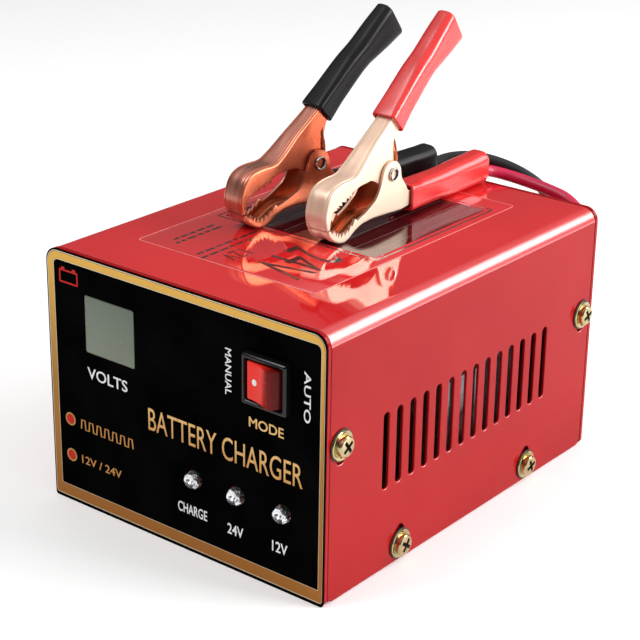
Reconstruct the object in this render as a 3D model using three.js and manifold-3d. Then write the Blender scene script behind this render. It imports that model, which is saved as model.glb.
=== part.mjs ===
// A small 12 V / 24 V car battery charger: a sheet-steel case with a front control panel,
// and two leads with sprung clamps that are parked on top of the case.
// Millimetres. +Z is up, the control panel faces -Y, and the origin is at the middle of
// the case's footprint.

import * as THREE from 'three';
import { mergeVertices } from 'three/addons/utils/BufferGeometryUtils.js';
import Module from 'manifold-3d';

const wasm = await Module();
wasm.setup();

// ---- Driving dimensions ------------------------------------------------------------

const GAP = 0.3; // clearance between pieces that touch

const WIDTH = 110;
const DEPTH = 142;
const HEIGHT = 85;
const FRONT = -DEPTH / 2;
const REAR = DEPTH / 2;

const LABEL_THICK = 0.4;
const WALL = 1.2; // chassis sheet
const COVER = 1.0; // cover sheet
const PANEL_TOP_RADIUS = 4.5;
const PANEL_BOTTOM_RADIUS = 1.8;
const COVER_BEND = 5;
const COVER_FOOT = 0.4; // height of the cover's lower edge
const COVER_CORNER = 2.5;
const FLANGE_HEIGHT = 13;
const FLANGE_DEPTH = 12;

const WALL_FRONT = FRONT + LABEL_THICK + GAP;
const WALL_BACK = WALL_FRONT + WALL; // inner face of the front wall
const COVER_FRONT = WALL_BACK + GAP;
const REAR_WALL_INNER = REAR - WALL;
const COVER_REAR = REAR_WALL_INNER - GAP;
const FLANGE_OUT = WIDTH / 2 - COVER - GAP;

const SLOTS = { count: 14, first: -42.5, pitch: 6.51, width: 2.7, bottom: 27.2, top: 52.2 };

// Side screws, as [y, z] on both sides
const SCREW_PLACES = [[-64, 49.8], [64.5, 49.8], [-34.3, 6], [34.7, 6]];
// The cover's screw holes are slots, upright, from behind the screw to just past its flange
const SCREW_SLOT = { half: 2.1, reach: 6.3 };
const UPPER_SCREW = 30; // screws above this height have their slot below them
const SCREW = { flange: 5, flangeThick: 0.9, head: 3.3, headHeight: 1.9, shank: 1.6, length: 6 };
const SCREW_HOLE = SCREW.shank + GAP;

const WINDOW = { left: -39.3, right: -18.3, bottom: 53.7, top: 72.9, radius: 0.6 };

const SWITCH = { x: 34.1, z: 65.1 };
const BEZEL = { halfX: 8.2, halfZ: 7.9, thick: 2.1 };
const SWITCH_BODY = { halfX: 7.5, halfZ: 6.9, back: -60 };
const SWITCH_WELL = { halfX: 7.0, halfZ: 6.2, depth: 6.9 };
const ROCKER = { radius: 6.6, halfZ: 5.85, valley: 9, tilt: 17, endAngle: 43.6, back: 3 };
const ROCKER_PIVOT_Y = FRONT + 0.75;
const TRUNNION = 1.2;

const LAMPS = [['charging', 5.4, 25.2], ['24v', 22.2, 25.4], ['12v', 39.8, 25.5]];
const LAMP = { radius: 2.8, dome: 3.4, back: -66 };

const DISPLAY = { side: 4, above: 3.5, frame: 3, depth: 9 };

const BOARD = { halfX: 49, halfY: 59, bottom: 7, thick: 1.6 };
const BOARD_TOP = BOARD.bottom + BOARD.thick + GAP;
const STANDOFF_RADIUS = 3;
const CORE = { halfX: 21, front: 4, rear: 22, height: 34, leg: 6.5, limb: 6.5, yoke: 7 };
const COIL_OVERHANG = 7.5; // of the winding, in front of and behind the core
const CAPACITORS = {
  input: { radius: 9, height: 32, x: -32, y: -32 },
  output: { radius: 6.5, height: 25, x: 12, y: -28 },
};
const SINK = { left: 28, back: 3, front: 45, rear: 46, height: 34, fins: 6, finThick: 2, pitch: 8 };
const CHIP = { thick: 4.6, half: 5, height: 20, transistorY: 34, diodeY: 10 };
const RELAY = { x: [-42, -27], y: [6, 25], height: 15 };
const FUSE = { radius: 2.6, length: 20, x: -36, y: 34, lift: 3.2 };

const REAR_REACH = 5; // how far glands and grommets stand out of the rear wall
const MAINS_GLAND = { x: -36, z: 26, flange: 8, neck: 5.8, bore: 3.6 };
const GROMMET = { z: 30, flange: 4.6, neck: 3.2, xBlack: 14, xRed: 27 };

const LEAD_RADIUS = 2;
const LEAD_SIDES = 8;
const LEAD_STEP = 9;
const COIL = { x: -14, y: 106, inner: 17.6, outer: 26.4, height: 8.3 };

// ---- Clamp: (u, v) runs back from the rivet and up; w runs across ---------------------

const CLAMP_SHEET = 0.9;
const RIVET = { radius: 1.5, head: 2.3, headThick: 0.7, recess: 1.3 };
const RIVET_HOLE = RIVET.radius + GAP;
const CLAMP_HEIGHT = 101.8; // of the rivet
const CLAMPS = {
  red: { x: 9, y: 13.4, yaw: 0 },
  black: { x: -15.6, y: 8.1, yaw: -8 },
};
const UPPER_SPINE = [
  [-32.2, -10.6], [-32.8, -5.4], [-31, -0.6], [-28, 1.9], [-24, 2.8],
  [-18.8, 3.1], [-15.6, 4.9], [-9.3, 10], [-0.2, 16.8],
];
const UPPER_START = [1.7, 14.75, 2.8];
const UPPER_HANDLE = [[8, 20.8, 2.3], [16, 27.8, 2.2], [24, 33.5, 2.2], [30, 37.5, 2.2]];
const UPPER_EAR = [
  [3.6, 12.7], [2.2, 8.5], [2, 3.5], [3.4, -1.2], [1.6, -3.4], [-1.8, -3.8],
  [-5, -2.6], [-7.5, -0.9], [-10.5, 0], [-16.6, -0.1],
];
const UPPER_MOUTH = [[-20.5, -1.2], [-25.5, -2.8], [-29.4, -5], [-30.9, -8.4]];
const LOWER_SPINE = [
  [-31.6, -11.3], [-29.4, -14.3], [-25.8, -16.5], [-22.2, -16.5], [-19.5, -14.8],
  [-15, -12.9], [-9, -12.3], [0, -12.8], [10.4, -13.5],
];
const LOWER_START = [10.4, -10.8, 2.7];
const LOWER_HANDLE = [[17, -11.2, 2.3], [32, -11.7, 2.2], [48, -12, 2.2]];
const LOWER_EAR = [
  [10.3, -8.1], [4.8, -2.6], [4, 1.2], [2, 3.6], [-0.9, 4.2], [-3.6, 3],
  [-5, 0.4], [-5.9, -2.5], [-8.5, -6.4], [-13.6, -9.5],
];
const LOWER_MOUTH = [[-18.7, -11], [-20.6, -13], [-25.6, -14.6], [-29, -13], [-30.5, -11.4]];
const TEETH = { upper: 5, lower: 6, depth: 1.2 };
// Half widths across, as [u, half width]
const UPPER_PLAN = [[-36, 4.3], [-17, 4.3], [-8, 3.4], [2, 3.1], [12, 2.9], [60, 2.9]];
const LOWER_PLAN = [[-36, 4.3], [-17, 4.3], [-9, 4.6], [6, 4.6], [11, 3.1], [20, 2.9], [60, 2.9]];
// Grip sections, as [u, v, half width, half depth]
const UPPER_GRIP = [
  [2.4, 15.4, 4.6, 4.1], [9, 21.6, 4.5, 4], [16, 27.8, 4.4, 4],
  [24, 33.5, 4.2, 4.6], [30, 37.6, 3.9, 5.6], [34.6, 40.7, 3.5, 6.2],
];
const LOWER_GRIP = [
  [11, -11, 4.8, 4.4], [20, -11.3, 4.8, 4.5], [32, -11.4, 4.7, 4.8],
  [44, -11.3, 4.7, 5.1], [56, -11.1, 4.5, 5.35],
];
const SPRING = { mean: 2.9, wire: 0.45, turns: 2.75, pitch: 1.2 };

// ---- Lead routes, hand chosen; each one starts where it meets a piece ------------------

const RED_OUT = [
  [27, 76.3, 30], [26.9, 81, 29.6], [26, 87, 26], [23.5, 92, 19], [19.6, 96.5, 11],
  [16.4, 100, 6], [14.8, 104.5, 4],
];
const RED_UP = [
  [-14, 77.2, 4.2], [-4, 77.3, 3.4], [8, 78, 2.4], [22, 78.6, 2.4], [33, 78.4, 2.5],
  [41, 78.3, 6], [45.4, 78.3, 15], [46, 78.3, 32], [46, 78.3, 52], [46, 78.4, 68],
  [44.4, 78.7, 77.3], [38.5, 79.2, 82.2], [30.6, 79.6, 83.9], [22.5, 79.4, 85],
  [15, 77.9, 86.2], [10.6, 74.4, 87.6], [9, 70.3, 88.6],
];
const BLACK_OUT = [
  [14, 76.3, 30], [14, 81, 29.7], [13.9, 87, 27.2], [14.2, 93.5, 22], [14.6, 99, 17],
  [14.8, 104.5, 13.4],
];
const BLACK_UP = [
  [-14, 77.2, 13], [-3, 77.6, 13], [8, 79.4, 12], [19, 82.6, 11.4], [28, 85.6, 15.5],
  [32.4, 87.7, 26], [33, 88.4, 42], [32.4, 88.2, 58], [30, 87.2, 72], [25.4, 85.4, 80.8],
  [18.4, 82.8, 86], [9.6, 79.2, 89.4], [1.4, 75.4, 90.6], [-4.6, 70.8, 90], [-7.7, 64.5, 88.6],
];

// ---- Materials ---------------------------------------------------------------------

function material(color, roughness, metalness) {
  return new THREE.MeshStandardMaterial({ color, roughness, metalness });
}

const RED_PAINT = material(0xc0262a, 0.3, 0.2);
const BLACK_GLOSS = material(0x0c0c0c, 0.2, 0);
const BLACK_PLASTIC = material(0x1a1a1a, 0.45, 0);
const RED_PLASTIC = material(0xe02a20, 0.35, 0);
const CLEAR_PLASTIC = material(0xdfe4e6, 0.1, 0);
const GREY_WINDOW = material(0x7f8a76, 0.25, 0);
const YELLOW_ZINC = material(0xcdb06a, 0.3, 0.9);
const COPPER = material(0xd98f5c, 0.25, 1);
const RED_VINYL = material(0xe8282c, 0.35, 0);
const BLACK_VINYL = material(0x1c1c1e, 0.4, 0);
const RED_CORD = material(0xb01838, 0.45, 0);
const STEEL = material(0xb8bcc0, 0.3, 1);
const BOARD_GREEN = material(0x1f5a34, 0.5, 0);
const FERRITE = material(0x3a3a3c, 0.6, 0);
const WINDING = material(0xc98a2e, 0.5, 0.2);
const ALUMINIUM = material(0xb4b8bc, 0.4, 1);
const NYLON = material(0xe6e2d4, 0.5, 0);

// ---- Solids ------------------------------------------------------------------------

function signedVolume(positions, triangles) {
  const a = new THREE.Vector3();
  const b = new THREE.Vector3();
  const c = new THREE.Vector3();
  let total = 0;
  for (let i = 0; i < triangles.length; i += 3) {
    a.fromArray(positions, 3 * triangles[i]);
    b.fromArray(positions, 3 * triangles[i + 1]);
    c.fromArray(positions, 3 * triangles[i + 2]);
    total += a.dot(b.cross(c)) / 6;
  }
  return total;
}

// A closed three.js geometry as a manifold solid, facing outwards
function solid(geometry) {
  const bare = new THREE.BufferGeometry();
  bare.setAttribute('position', geometry.attributes.position);
  if (geometry.index) bare.setIndex(geometry.index);
  const merged = mergeVertices(bare);
  const positions = merged.attributes.position.array;
  const triangles = [];
  for (let i = 0; i < merged.index.count; i += 3) {
    const [a, b, c] = [0, 1, 2].map((k) => merged.index.getX(i + k));
    if (a !== b && b !== c && c !== a) triangles.push(a, b, c);
  }
  if (signedVolume(positions, triangles) < 0) triangles.reverse();
  const triVerts = new Uint32Array(triangles);
  return new wasm.Manifold(new wasm.Mesh({ numProp: 3, vertProperties: positions, triVerts }));
}

function join(first, ...others) {
  return others.reduce((whole, part) => whole.add(part), first);
}

function cut(first, ...tools) {
  return tools.reduce((whole, tool) => whole.subtract(tool), first);
}

function outline(points) {
  return new THREE.Shape(points.map(([a, b]) => new THREE.Vector2(a, b)));
}

function roundedRect(left, bottom, right, top, lower, upper = lower) {
  const shape = new THREE.Shape();
  shape.moveTo(left + lower, bottom);
  shape.lineTo(right - lower, bottom);
  shape.absarc(right - lower, bottom + lower, lower, -Math.PI / 2, 0, false);
  shape.lineTo(right, top - upper);
  shape.absarc(right - upper, top - upper, upper, 0, Math.PI / 2, false);
  shape.lineTo(left + upper, top);
  shape.absarc(left + upper, top - upper, upper, Math.PI / 2, Math.PI, false);
  shape.lineTo(left, bottom + lower);
  shape.absarc(left + lower, bottom + lower, lower, Math.PI, 1.5 * Math.PI, false);
  return shape;
}

function extrude(shape, depth, curveSegments) {
  return new THREE.ExtrudeGeometry(shape, { depth, bevelEnabled: false, curveSegments });
}

// Outline in (x, y), from z = low to high
function prismZ(shape, low, high, segments = 6) {
  return solid(extrude(shape, high - low, segments).translate(0, 0, low));
}

// Outline in (x, z), from y = low to high
function prismY(shape, low, high, segments = 6) {
  return solid(extrude(shape, high - low, segments).rotateX(Math.PI / 2).translate(0, high, 0));
}

// Outline in (y, z), from x = low to high
function prismX(shape, low, high, segments = 6) {
  const turn = new THREE.Matrix4().makeBasis(
    new THREE.Vector3(0, 1, 0), new THREE.Vector3(0, 0, 1), new THREE.Vector3(1, 0, 0),
  );
  return solid(extrude(shape, high - low, segments).applyMatrix4(turn).translate(low, 0, 0));
}

function box(x0, x1, y0, y1, z0, z1) {
  const geometry = new THREE.BoxGeometry(x1 - x0, y1 - y0, z1 - z0);
  return solid(geometry.translate((x0 + x1) / 2, (y0 + y1) / 2, (z0 + z1) / 2));
}

// A turned piece: profile of [radius, distance along the axis]
function turned(profile, segments) {
  return new THREE.LatheGeometry(profile.map(([r, h]) => new THREE.Vector2(r, h)), segments);
}

function alongX(geometry, x, y, z) {
  return solid(geometry.rotateZ(-Math.PI / 2).translate(x, y, z));
}

function alongY(geometry, x, y, z) {
  return solid(geometry.translate(x, y, z));
}

function alongZ(geometry, x, y, z) {
  return solid(geometry.rotateX(Math.PI / 2).translate(x, y, z));
}

function rod(radius, length, segments = 12) {
  return turned([[0, 0], [radius, 0], [radius, length], [0, length]], segments);
}

function circle(radius, sides) {
  const points = [];
  for (let i = 0; i < sides; i += 1) {
    const angle = (2 * Math.PI * i) / sides;
    points.push([radius * Math.cos(angle), radius * Math.sin(angle)]);
  }
  return outline(points);
}

function tube(points, radius, sides, steps) {
  const path = new THREE.CatmullRomCurve3(points.map((p) => new THREE.Vector3(...p)));
  const settings = { steps, extrudePath: path, bevelEnabled: false };
  return solid(new THREE.ExtrudeGeometry(circle(radius, sides), settings));
}

const charger = new THREE.Group();

function piece(name, shape, look, parent = charger) {
  const { vertProperties, triVerts } = shape.getMesh();
  const geometry = new THREE.BufferGeometry();
  geometry.setAttribute('position', new THREE.BufferAttribute(vertProperties, 3));
  geometry.setIndex(new THREE.BufferAttribute(triVerts, 1));
  geometry.computeVertexNormals();
  const mesh = new THREE.Mesh(geometry, look);
  mesh.name = name;
  parent.add(mesh);
}

// ---- Case --------------------------------------------------------------------------

function panelOutline() {
  const half = WIDTH / 2;
  return roundedRect(-half, 0, half, HEIGHT, PANEL_BOTTOM_RADIUS, PANEL_TOP_RADIUS);
}

function windowOutline(inset) {
  const { left, right, bottom, top, radius } = WINDOW;
  return roundedRect(left + inset, bottom + inset, right - inset, top - inset, radius);
}

// Holes that the label and the front wall share
function frontHoles() {
  const halfX = SWITCH_BODY.halfX + GAP;
  const halfZ = SWITCH_BODY.halfZ + GAP;
  const { x, z } = SWITCH;
  const switchHole = roundedRect(x - halfX, z - halfZ, x + halfX, z + halfZ, 0.5);
  const low = FRONT - 1;
  const high = WALL_BACK + 1;
  const holes = [prismY(windowOutline(0), low, high), prismY(switchHole, low, high)];
  for (const [, lampX, lampZ] of LAMPS) {
    holes.push(alongY(rod(LAMP.radius + GAP, high - low, 12), lampX, low, lampZ));
  }
  return holes;
}

function chassis() {
  const halfX = FLANGE_OUT;
  const inner = halfX - WALL;
  let shape = join(
    prismY(panelOutline(), WALL_FRONT, WALL_BACK),
    prismY(panelOutline(), REAR_WALL_INNER, REAR),
    box(-halfX, halfX, WALL_BACK - 0.5, REAR_WALL_INNER + 0.5, 0, WALL),
  );
  for (const side of [-1, 1]) {
    const [x0, x1] = side > 0 ? [inner, halfX] : [-halfX, -inner];
    shape = join(
      shape,
      box(x0, x1, WALL_BACK - 0.5, REAR_WALL_INNER + 0.5, 0, FLANGE_HEIGHT),
      box(x0, x1, WALL_BACK - 0.5, WALL_BACK + FLANGE_DEPTH, 0, HEIGHT - 7),
      box(x0, x1, REAR_WALL_INNER - FLANGE_DEPTH, REAR_WALL_INNER + 0.5, 0, HEIGHT - 7),
    );
  }
  for (const [y, z] of SCREW_PLACES) {
    shape = shape.subtract(alongX(rod(SCREW_HOLE, WIDTH + 2, 8), -WIDTH / 2 - 1, y, z));
  }
  const rearHoles = [
    [MAINS_GLAND.x, MAINS_GLAND.z, MAINS_GLAND.neck],
    [GROMMET.xBlack, GROMMET.z, GROMMET.neck],
    [GROMMET.xRed, GROMMET.z, GROMMET.neck],
  ].map(([x, z, r]) => alongY(rod(r + GAP, 4, 16), x, REAR - 3, z));
  return cut(shape, ...frontHoles(), ...rearHoles);
}

function coverSection(inset) {
  const half = WIDTH / 2 - inset;
  const top = HEIGHT - inset;
  const radius = COVER_BEND - inset;
  const foot = COVER_FOOT - inset;
  const shape = new THREE.Shape();
  shape.moveTo(half, foot);
  shape.lineTo(half, top - radius);
  shape.absarc(half - radius, top - radius, radius, 0, Math.PI / 2, false);
  shape.lineTo(-half + radius, top);
  shape.absarc(-half + radius, top - radius, radius, Math.PI / 2, Math.PI, false);
  shape.lineTo(-half, foot);
  return shape;
}

// The sheet that a rounded lower corner of the cover's side leaves out
function cornerWaste(y, inward) {
  const r = COVER_CORNER;
  const shape = new THREE.Shape();
  shape.moveTo(y - inward, COVER_FOOT - 1);
  shape.lineTo(y + inward * r, COVER_FOOT - 1);
  shape.lineTo(y + inward * r, COVER_FOOT);
  const from = -Math.PI / 2;
  const to = inward > 0 ? -Math.PI : 0;
  shape.absarc(y + inward * r, COVER_FOOT + r, r, from, to, inward > 0);
  shape.lineTo(y - inward, COVER_FOOT + r);
  return prismX(shape, -WIDTH, WIDTH, 4);
}

function topCover() {
  const slotRadius = SLOTS.width / 2;
  const tools = [
    prismY(coverSection(COVER), COVER_FRONT - 1, COVER_REAR + 1, 5),
    cornerWaste(COVER_FRONT, 1),
    cornerWaste(COVER_REAR, -1),
  ];
  for (let i = 0; i < SLOTS.count; i += 1) {
    const y = SLOTS.first + i * SLOTS.pitch;
    const slot = roundedRect(y - slotRadius, SLOTS.bottom, y + slotRadius, SLOTS.top, slotRadius);
    tools.push(prismX(slot, -WIDTH, WIDTH, 2));
  }
  const { half, reach } = SCREW_SLOT;
  for (const [y, z] of SCREW_PLACES) {
    const [low, high] = z > UPPER_SCREW ? [z - reach, z + half] : [z - half, z + reach];
    tools.push(prismX(roundedRect(y - half, low, y + half, high, half), -WIDTH, WIDTH, 3));
  }
  return cut(prismY(coverSection(0), COVER_FRONT, COVER_REAR, 5), ...tools);
}

function sideScrew() {
  const { flange, flangeThick, head, headHeight, shank, length } = SCREW;
  const top = flangeThick + headHeight;
  const body = solid(turned([
    [0, -length], [shank * 0.5, -length], [shank, -length + 1], [shank, 0], [flange, 0],
    [flange, flangeThick * 0.7], [head, flangeThick], [head, top - 0.7], [head * 0.6, top], [0, top],
  ], 12));
  const slots = [0, 1].map((k) => solid(
    new THREE.BoxGeometry(3.6, 2.4, 0.8).rotateY((k * Math.PI) / 2).translate(0, top, 0),
  ));
  return cut(body, ...slots);
}

function addCase() {
  piece('chassis', chassis(), RED_PAINT);
  piece('top_cover', topCover(), RED_PAINT);
  const label = prismY(panelOutline(), FRONT, FRONT + LABEL_THICK);
  piece('front_label', cut(label, ...frontHoles()), BLACK_GLOSS);
  const names = ['front_upper', 'rear_upper', 'front_lower', 'rear_lower'];
  for (const [side, sign] of [['right', 1], ['left', -1]]) {
    SCREW_PLACES.forEach(([y, z], i) => {
      const holder = new THREE.Group();
      holder.position.set(sign * (WIDTH / 2 + GAP), y, z);
      holder.rotation.z = (-sign * Math.PI) / 2;
      charger.add(holder);
      piece(`screw_${side}_${names[i]}`, sideScrew(), YELLOW_ZINC, holder);
    });
  }
}

// ---- Front panel pieces ------------------------------------------------------------

function displayWindow() {
  return prismY(windowOutline(GAP), FRONT + 0.1, WALL_BACK);
}

function displayModule() {
  const { left, right, bottom, top } = WINDOW;
  const { side, above, frame, depth } = DISPLAY;
  const front = WALL_BACK + GAP;
  const bezel = box(left - side, right + side, front, front + frame, bottom - side, top + above);
  return bezel.add(box(left, right, front + 1, front + depth, bottom, top));
}

function switchHousing() {
  const { x, z } = SWITCH;
  const bezelBack = FRONT - GAP;
  const bezelFront = bezelBack - BEZEL.thick;
  const { halfX, halfZ } = BEZEL;
  const bezel = roundedRect(x - halfX, z - halfZ, x + halfX, z + halfZ, 0.6);
  const body = SWITCH_BODY;
  const well = SWITCH_WELL;
  const pivot = ROCKER_PIVOT_Y;
  return cut(
    join(
      prismY(bezel, bezelFront, bezelBack, 3),
      box(x - body.halfX, x + body.halfX, bezelBack - 1, body.back, z - body.halfZ, z + body.halfZ),
    ),
    box(
      x - well.halfX, x + well.halfX, bezelFront - 1, pivot + well.depth,
      z - well.halfZ, z + well.halfZ,
    ),
    alongZ(rod(TRUNNION + GAP, 2 * body.halfZ + 2, 12), x, pivot, z - body.halfZ - 1),
  );
}

// Section in (x, forward) about the pivot, turned to its resting tilt
function rockerOutline() {
  const { radius, valley, tilt, endAngle, back } = ROCKER;
  const rad = THREE.MathUtils.degToRad;
  const endX = radius * Math.cos(rad(endAngle));
  const endForward = radius * Math.sin(rad(endAngle));
  const low = THREE.MathUtils.radToDeg(Math.asin(-back / radius));
  const points = [[0, endForward - endX * Math.tan(rad(valley))]];
  const arcSteps = 6;
  for (let i = 0; i <= arcSteps; i += 1) {
    const angle = rad(endAngle + ((low - endAngle) * i) / arcSteps);
    points.push([radius * Math.cos(angle), radius * Math.sin(angle)]);
  }
  for (let i = arcSteps; i >= 0; i -= 1) {
    const angle = rad(endAngle + ((low - endAngle) * i) / arcSteps);
    points.push([-radius * Math.cos(angle), radius * Math.sin(angle)]);
  }
  const c = Math.cos(rad(tilt));
  const s = Math.sin(rad(tilt));
  return outline(points.map(([x, f]) => [x * c - f * s, -(x * s + f * c)]));
}

function switchRocker() {
  const { halfZ } = ROCKER;
  const reach = SWITCH_BODY.halfZ - 0.2;
  const pins = alongZ(rod(TRUNNION, 2 * reach, 12), 0, 0, -reach);
  const shape = prismZ(rockerOutline(), -halfZ, halfZ).add(pins);
  return shape.translate([SWITCH.x, ROCKER_PIVOT_Y, SWITCH.z]);
}

function lamp() {
  const { radius, dome, back } = LAMP;
  const flangeFront = WALL_BACK + GAP - FRONT;
  const profile = [[0, back - FRONT], [radius + 0.6, back - FRONT]];
  profile.push([radius + 0.6, flangeFront], [radius, flangeFront], [radius, radius - dome]);
  const steps = 3;
  for (let i = 1; i <= steps; i += 1) {
    const angle = (Math.PI / 2) * (i / steps);
    profile.push([radius * Math.cos(angle), radius - dome - radius * Math.sin(angle)]);
  }
  profile[profile.length - 1][0] = 0;
  return turned(profile, 12);
}

function addFrontPieces() {
  piece('display_window', displayWindow(), GREY_WINDOW);
  piece('display_module', displayModule(), BLACK_PLASTIC);
  piece('switch_housing', switchHousing(), BLACK_PLASTIC);
  piece('switch_rocker', switchRocker(), RED_PLASTIC);
  for (const [name, x, z] of LAMPS) {
    piece(`lamp_${name}`, alongY(lamp(), x, FRONT, z), CLEAR_PLASTIC);
  }
}

// ---- Inside the case ---------------------------------------------------------------

function capacitor({ radius, height, x, y }) {
  return alongZ(rod(radius, height, 16), x, y, BOARD_TOP);
}

// A plate that stands across X, with fins towards +X
function heatSink() {
  const { left, back, front, rear, height, fins, finThick, pitch } = SINK;
  const top = BOARD_TOP + height;
  let sink = box(left, left + back, 0, rear, BOARD_TOP, top);
  for (let i = 0; i < fins; i += 1) {
    const y = pitch * i + finThick;
    sink = sink.add(box(left + back - 1, front, y, y + finThick, BOARD_TOP, top));
  }
  return sink;
}

// The two windows of the core, each as [x0, x1], and their height range
function coreWindows() {
  const { halfX, leg, limb, yoke, height } = CORE;
  const sides = [[-halfX + limb, -leg], [leg, halfX - limb]];
  return { sides, z0: BOARD_TOP + yoke, z1: BOARD_TOP + height - yoke };
}

function transformerCore() {
  const { halfX, front, rear, height } = CORE;
  const { sides, z0, z1 } = coreWindows();
  const windows = sides.map(([x0, x1]) => box(x0, x1, front - 1, rear + 1, z0, z1));
  return cut(box(-halfX, halfX, front, rear, BOARD_TOP, BOARD_TOP + height), ...windows);
}

function transformerWinding() {
  const { front, rear, leg } = CORE;
  const { sides, z0, z1 } = coreWindows();
  const outer = sides[1][1] - GAP;
  const inner = leg + GAP;
  const hole = box(-inner, inner, front - GAP, rear + GAP, z0, z1);
  const y0 = front - COIL_OVERHANG;
  const y1 = rear + COIL_OVERHANG;
  return cut(box(-outer, outer, y0, y1, z0 + GAP, z1 - GAP), hole);
}

// A flat power device that stands against the heat sink
function chip(y) {
  const right = SINK.left - GAP;
  const { thick, half, height } = CHIP;
  return box(right - thick, right, y - half, y + half, BOARD_TOP, BOARD_TOP + height);
}

function addInside() {
  const { halfX, halfY, bottom, thick } = BOARD;
  const board = box(-halfX, halfX, -halfY, halfY - 1, bottom, bottom + thick);
  piece('circuit_board', board, BOARD_GREEN);
  const corners = [
    ['front_left', -1, -1], ['front_right', 1, -1], ['rear_left', -1, 1], ['rear_right', 1, 1],
  ];
  for (const [name, sx, sy] of corners) {
    const height = bottom - WALL - 2 * GAP;
    const x = sx * (halfX - 2 * STANDOFF_RADIUS);
    const y = sy * (halfY - 2 * STANDOFF_RADIUS - 1);
    piece(`standoff_${name}`, alongZ(rod(STANDOFF_RADIUS, height, 12), x, y, WALL + GAP), NYLON);
  }
  piece('transformer_core', transformerCore(), FERRITE);
  piece('transformer_winding', transformerWinding(), WINDING);
  piece('input_capacitor', capacitor(CAPACITORS.input), BLACK_PLASTIC);
  piece('output_capacitor', capacitor(CAPACITORS.output), BLACK_PLASTIC);
  piece('heat_sink', heatSink(), ALUMINIUM);
  piece('switching_transistor', chip(CHIP.transistorY), BLACK_PLASTIC);
  piece('rectifier_diode', chip(CHIP.diodeY), BLACK_PLASTIC);
  piece('relay', box(...RELAY.x, ...RELAY.y, BOARD_TOP, BOARD_TOP + RELAY.height), BLACK_PLASTIC);
  const fuse = rod(FUSE.radius, FUSE.length, 12);
  piece('mains_fuse', alongY(fuse, FUSE.x, FUSE.y, BOARD_TOP + FUSE.lift), CLEAR_PLASTIC);
}

// ---- Rear wall pieces --------------------------------------------------------------

function mainsGland() {
  const { flange, neck, bore } = MAINS_GLAND;
  return turned([
    [bore, -5], [neck, -5], [neck, GAP], [flange, GAP], [flange, 2.4],
    [flange - 1.6, REAR_REACH], [bore, REAR_REACH], [bore, -5],
  ], 20);
}

function leadGrommet() {
  const { flange, neck } = GROMMET;
  return turned([
    [0, -WALL - 2.2], [neck - 0.6, -WALL - 2.2], [flange, -WALL - GAP - 0.8], [flange, -WALL - GAP],
    [neck, -WALL - GAP], [neck, GAP], [flange, GAP], [flange, 1.6], [flange - 1.6, REAR_REACH],
    [0, REAR_REACH],
  ], 16);
}

function addRearPieces() {
  piece('mains_cord_gland', alongY(mainsGland(), MAINS_GLAND.x, REAR, MAINS_GLAND.z), BLACK_PLASTIC);
  const { xBlack, xRed, z } = GROMMET;
  piece('lead_grommet_black', alongY(leadGrommet(), xBlack, REAR, z), BLACK_PLASTIC);
  piece('lead_grommet_red', alongY(leadGrommet(), xRed, REAR, z), BLACK_PLASTIC);
}

// ---- Clamps ------------------------------------------------------------------------

// Points beside a path, at a distance to its left
function beside(path, distance) {
  return path.map((point, i) => {
    const before = path[Math.max(i - 1, 0)];
    const after = path[Math.min(i + 1, path.length - 1)];
    const along = new THREE.Vector2(after[0] - before[0], after[1] - before[1]).normalize();
    const reach = typeof distance === 'number' ? distance : distance[i];
    return [point[0] - along.y * reach, point[1] + along.x * reach];
  });
}

// A run of pointed teeth along a path
function teeth(path, count, depth) {
  const curve = new THREE.Path(path.map(([u, v]) => new THREE.Vector2(u, v)));
  const points = curve.getSpacedPoints(2 * count).map(({ x, y }) => [x, y]);
  const tips = beside(points, -depth);
  return points.map((point, i) => (i % 2 ? tips[i] : point));
}

function handleSides(start, handle) {
  const centre = [start, ...handle];
  const halves = centre.map((point) => point[2]);
  return {
    left: beside(centre, halves).slice(1),
    right: beside(centre, halves.map((half) => -half)).slice(1),
  };
}

// The part of a plan view between +half and -half width, less a wall
function planPrism(plan, wall) {
  const right = plan.map(([u, half]) => [half - wall, u]);
  const left = plan.map(([u, half]) => [wall - half, u]).reverse();
  return prismZ(outline([...right, ...left]), -40, 60);
}

// A folded channel: cheeks of the given outline, closed by a spine along one edge
function channel(cheek, hollow, plan) {
  const wide = 12;
  const outer = prismX(outline(cheek), -wide, wide).intersect(planPrism(plan, 0));
  const inner = prismX(outline(hollow), -wide, wide).intersect(planPrism(plan, CLAMP_SHEET));
  const hole = alongX(rod(RIVET_HOLE, 2 * wide, 12), -wide, 0, 0);
  return cut(outer, inner, hole);
}

function upperJaw() {
  const { left, right } = handleSides(UPPER_START, UPPER_HANDLE);
  const spine = [...UPPER_SPINE, ...left];
  const mouth = teeth(UPPER_MOUTH, TEETH.upper, TEETH.depth);
  const cheek = [...spine, ...right.reverse(), ...UPPER_EAR, ...mouth, [-31.2, -10.6]];
  const inner = beside(spine, -CLAMP_SHEET);
  const hollow = [[-31.3, -25], ...inner, [34, 42.5], [50, 30], [20, -25]];
  return channel(cheek, hollow, UPPER_PLAN);
}

function lowerJaw() {
  const { left, right } = handleSides(LOWER_START, LOWER_HANDLE);
  const spine = [...LOWER_SPINE, ...right];
  const mouth = teeth(LOWER_MOUTH, TEETH.lower, TEETH.depth);
  const cheek = [...spine, ...left.reverse(), ...LOWER_EAR, ...mouth];
  const inner = beside(spine, CLAMP_SHEET);
  const hollow = [[-30.8, 20], ...inner, [60, -13.7], [60, 20]];
  return channel(cheek, hollow, LOWER_PLAN);
}

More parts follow.
